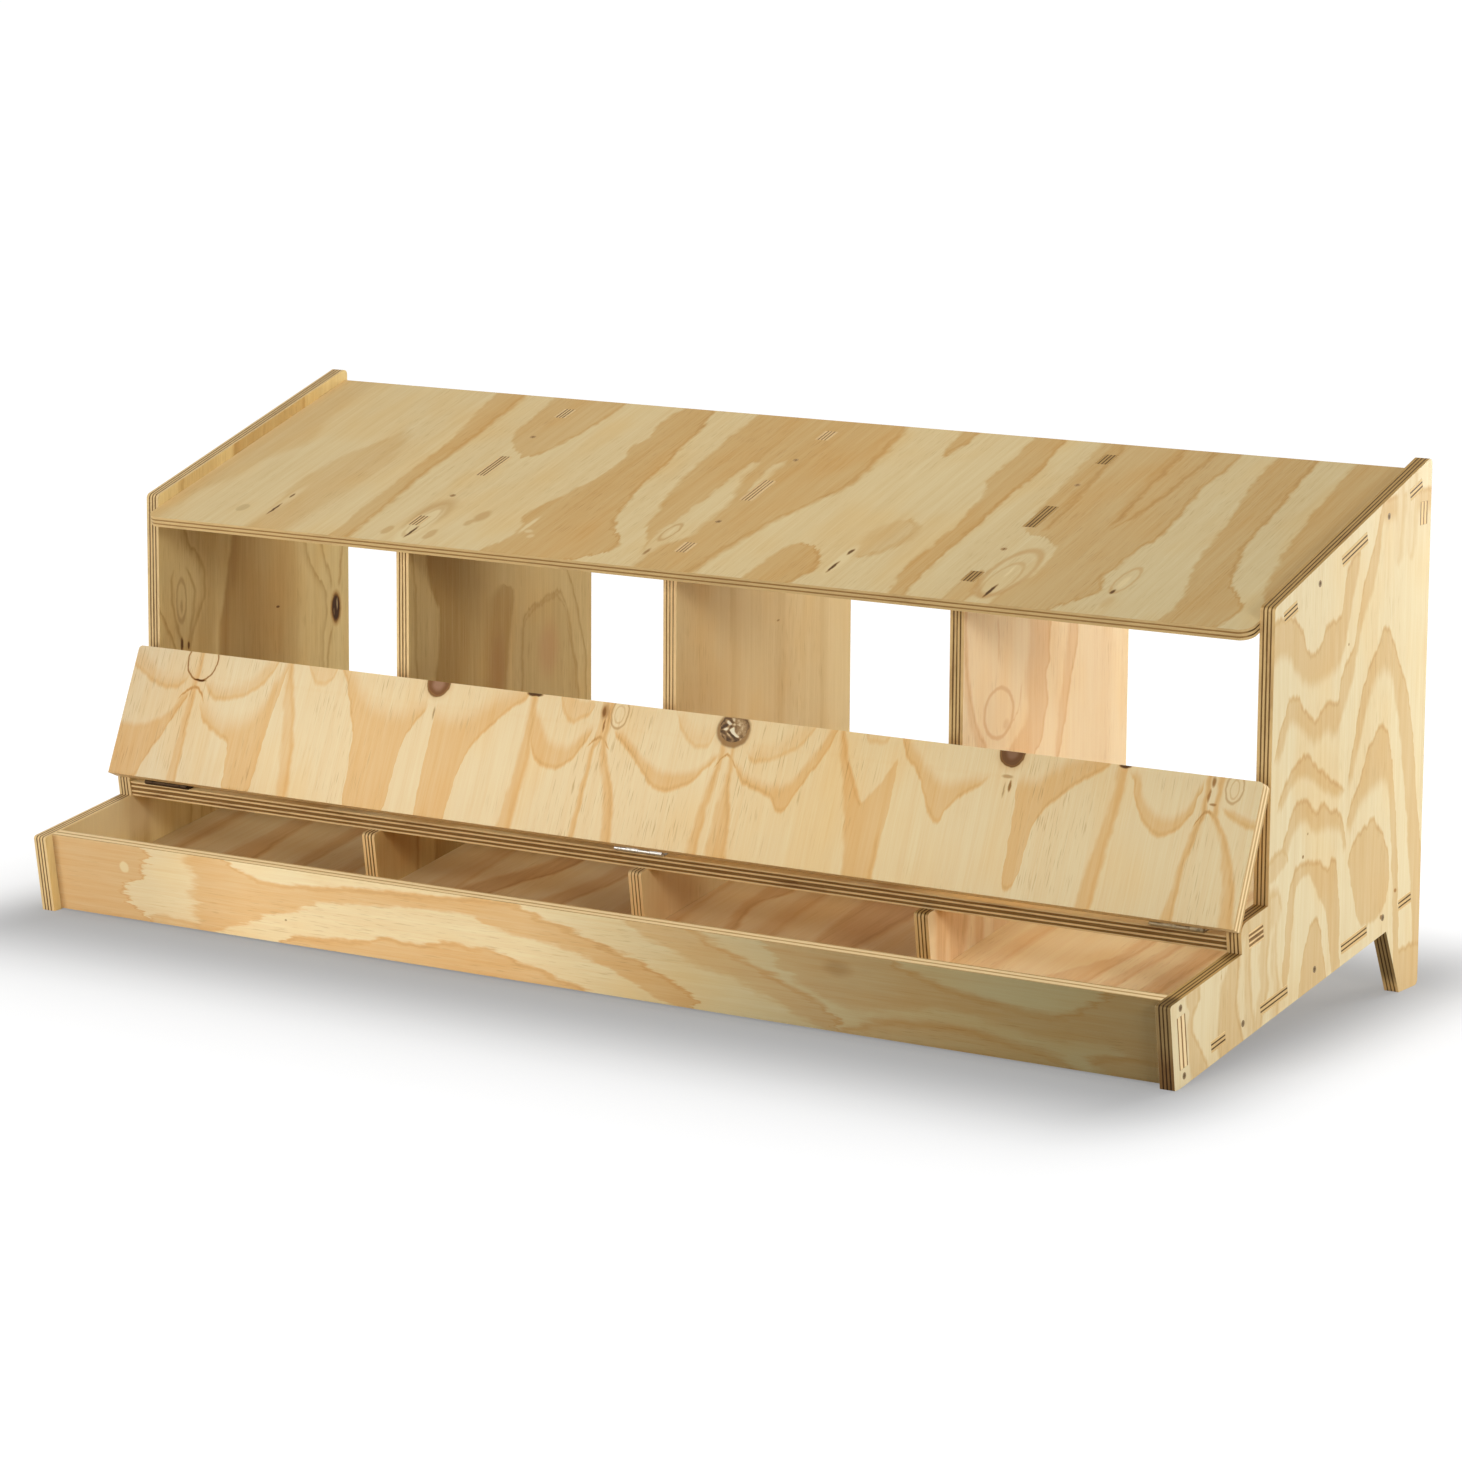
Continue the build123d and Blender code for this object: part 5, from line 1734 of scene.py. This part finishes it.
@dataclass
class Studio:
    """White floor, even fill, soft lamps and the camera.

    Attributes:
        floor_half: half side of the floor, in metres.
        floor_drop: room between the feet and the floor.
        floor_steps: points along each side of the floor.
        floor_white: colour of the floor as light meets it.
        floor_seen: colour of the floor as the eye meets it, below its glow.
        footprint: half sizes of the box on the floor, from which the glow grows.
        side_pull: how much faster the glow grows beside the box than in front of it.
        shade: (distance from the footprint, glow) pairs; the weaker glow near the box is a painted shadow.
        fill: strength of the even light.
        lamps: soft lamps.
        camera_place: where the camera stands.
        yaw: turn of the camera in degrees.
        pitch: tilt of the camera in degrees.
        roll: roll of the camera in degrees.
        frame_pixels: side of the square picture.
        focal_pixels: focal length in the same pixels.
        centre_pixel: pixel that the camera points at.
        sensor: side of the camera's sensor, in millimetres.
    """

    floor_half: float = 60.0
    floor_drop: float = 0.0002
    floor_steps: int = 3
    floor_white: Colour = (242, 242, 242)
    floor_seen: Colour = (110, 110, 110)
    footprint: tuple[float, float] = (0.57, 0.2235)
    side_pull: float = 1.8
    shade: tuple[tuple[float, float], ...] = (
        (0.0, 0.28),
        (0.025, 0.30),
        (0.062, 0.36),
        (0.092, 0.43),
        (0.123, 0.515),
        (0.185, 0.69),
        (0.245, 0.80),
        (0.335, 0.86),
        (0.6, 0.94),
        (1.2, 1.0),
    )
    fill: float = 0.2
    lamps: tuple[Lamp, ...] = (
        Lamp("front_key", (-0.6, -3.5, 1.3), (0.0, -0.1, 0.2), 1.4, 12.6),
        Lamp("overhead", (0.0, -0.4, 3.0), (0.0, 0.0, 0.2), 1.4, 39.5),
        Lamp("low_left", (-1.0, -1.15, 0.25), (-0.4, -0.2, 0.05), 0.5, 5.4),
        Lamp("right_front", (2.6, -1.3, 1.1), (0.0, -0.1, 0.2), 0.6, 22.6),
        Lamp("right_rear", (2.3, 1.3, 0.75), (0.3, 0.1, 0.25), 0.7, 12.5),
        Lamp("rear_high", (0.6, 2.2, 1.6), (0.2, 0.1, 0.2), 1.0, 13.5),
        Lamp("right_nest", (0.85, 0.85, 0.5), (0.44, 0.0, 0.1), 0.3, 4.5),
        Lamp("left_side", (-2.7, 0.35, 0.5), (-0.6, 0.0, 0.25), 0.8, 9.0),
    )
    camera_place: tuple[float, float, float] = (2.42177, -3.68991, 1.01222)
    yaw: float = -32.69
    pitch: float = -9.47
    roll: float = 0.41
    frame_pixels: float = 1462.0
    focal_pixels: float = 4958.33
    centre_pixel: tuple[float, float] = (758.63, 648.37)
    sensor: float = 36.0

    def build(self) -> None:
        """Adds the floor, the fill, the lamps and the camera."""
        self.lay_floor()
        self.set_world()
        for lamp in self.lamps:
            lamp.hang()
        self.set_camera()

    def lay_floor(self) -> None:
        """Lays a flat square grid just under the feet, which reads white to the eye away from the box."""
        grid = np.linspace(-self.floor_half, self.floor_half, self.floor_steps)
        x, y = np.meshgrid(grid, grid)
        points = np.stack([x, y, np.full_like(x, -self.floor_drop)], -1).reshape(-1, 3)
        near = np.arange(self.floor_steps - 1)
        corner = (near[:, None] * self.floor_steps + near).reshape(-1)
        behind = corner + self.floor_steps
        faces = np.stack([corner, corner + 1, behind + 1, behind], -1)
        mesh = bpy.data.meshes.new("studio_floor")
        mesh.from_pydata(points.tolist(), [], faces.tolist())
        floor = bpy.data.objects.new("studio_floor", mesh)
        bpy.context.scene.collection.objects.link(floor)
        mesh.materials.append(self.floor_finish())
        LOG.info("laid %s", floor.name)

    def seen(self, wiring: Wiring) -> Socket:
        """Tells which rays reach the eye.

        Args:
            wiring: nodes of the floor or of the world.

        Returns:
            1 for rays that reach the eye, straight or by gloss or glass.
        """
        path = wiring.add("LightPath").outputs
        direct = wiring.math("MAXIMUM", path["Is Camera Ray"], path["Is Glossy Ray"])
        return wiring.math("MAXIMUM", direct, path["Is Transmission Ray"])

    def floor_finish(self) -> bpy.types.Material:
        """Makes the floor's material.

        Returns:
            Matt white that takes the shadow, and a glow for the eye, weaker near the box's feet as a painted
            shadow.
        """
        material = bpy.data.materials.new("studio_white")
        wiring = Wiring(material)
        spread = wiring.vectors("ABSOLUTE", wiring.add("TexCoord").outputs["Object"])
        past = wiring.vectors("SUBTRACT", spread, (*self.footprint, 0.0))
        outside = wiring.vectors("MAXIMUM", past, (0.0, 0.0, 0.0))
        away = wiring.length(wiring.vectors("MULTIPLY", outside, (self.side_pull, 1.0, 0.0)))
        seen = self.seen(wiring)
        # The glow is weaker near the box: a painted shadow around its feet
        glow = wiring.times(wiring.curve(away, list(self.shade)), seen)
        white = wiring.coat(seen, linear(self.floor_white), linear(self.floor_seen))
        matt = wiring.add("BsdfDiffuse", white)
        light = wiring.add("Emission", WHITE_LIGHT, glow)
        both = wiring.add("AddShader", matt.outputs[0], light.outputs[0])
        wiring.add("OutputMaterial", both.outputs[0])
        return material

    def set_world(self) -> None:
        """Sets an even white fill that reads as white to the eye."""
        world = bpy.data.worlds.new("studio_fill")
        bpy.context.scene.world = world
        wiring = Wiring(world)
        strength = wiring.between(self.seen(wiring), self.fill, 1.0)
        back = wiring.add("Background", WHITE_LIGHT, strength)
        wiring.add("OutputWorld", back.outputs[0])

    def set_camera(self) -> None:
        """Puts the camera where the box is looked at from."""
        yaw, pitch, roll = (math.radians(angle) for angle in (self.yaw, self.pitch, self.roll))
        ahead = Vector((math.sin(yaw) * math.cos(pitch), math.cos(yaw) * math.cos(pitch), math.sin(pitch)))
        level = Vector((math.cos(yaw), -math.sin(yaw), 0.0))
        upright = level.cross(ahead)
        right = level * math.cos(roll) + upright * math.sin(roll)
        up = upright * math.cos(roll) - level * math.sin(roll)
        data = bpy.data.cameras.new("view")
        data.sensor_width = self.sensor
        data.lens = self.focal_pixels / self.frame_pixels * self.sensor
        data.shift_x = 0.5 - self.centre_pixel[0] / self.frame_pixels
        data.shift_y = self.centre_pixel[1] / self.frame_pixels - 0.5
        camera = bpy.data.objects.new("view", data)
        turn = Matrix((right, up, -ahead)).transposed()
        camera.matrix_world = Matrix.LocRotScale(Vector(self.camera_place), turn.to_quaternion(), None)
        bpy.context.scene.collection.objects.link(camera)
        bpy.context.scene.camera = camera
        bpy.context.scene.view_settings.view_transform = "Standard"


def main() -> None:
    """Builds and dresses the nesting box and its studio."""
    logging.basicConfig(level=logging.INFO, format="%(name)s: %(message)s")
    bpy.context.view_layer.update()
    Shell().dress()
    TrayLid().dress()
    Hardware().dress()
    Studio().build()


if __name__ == "__main__":
    main()
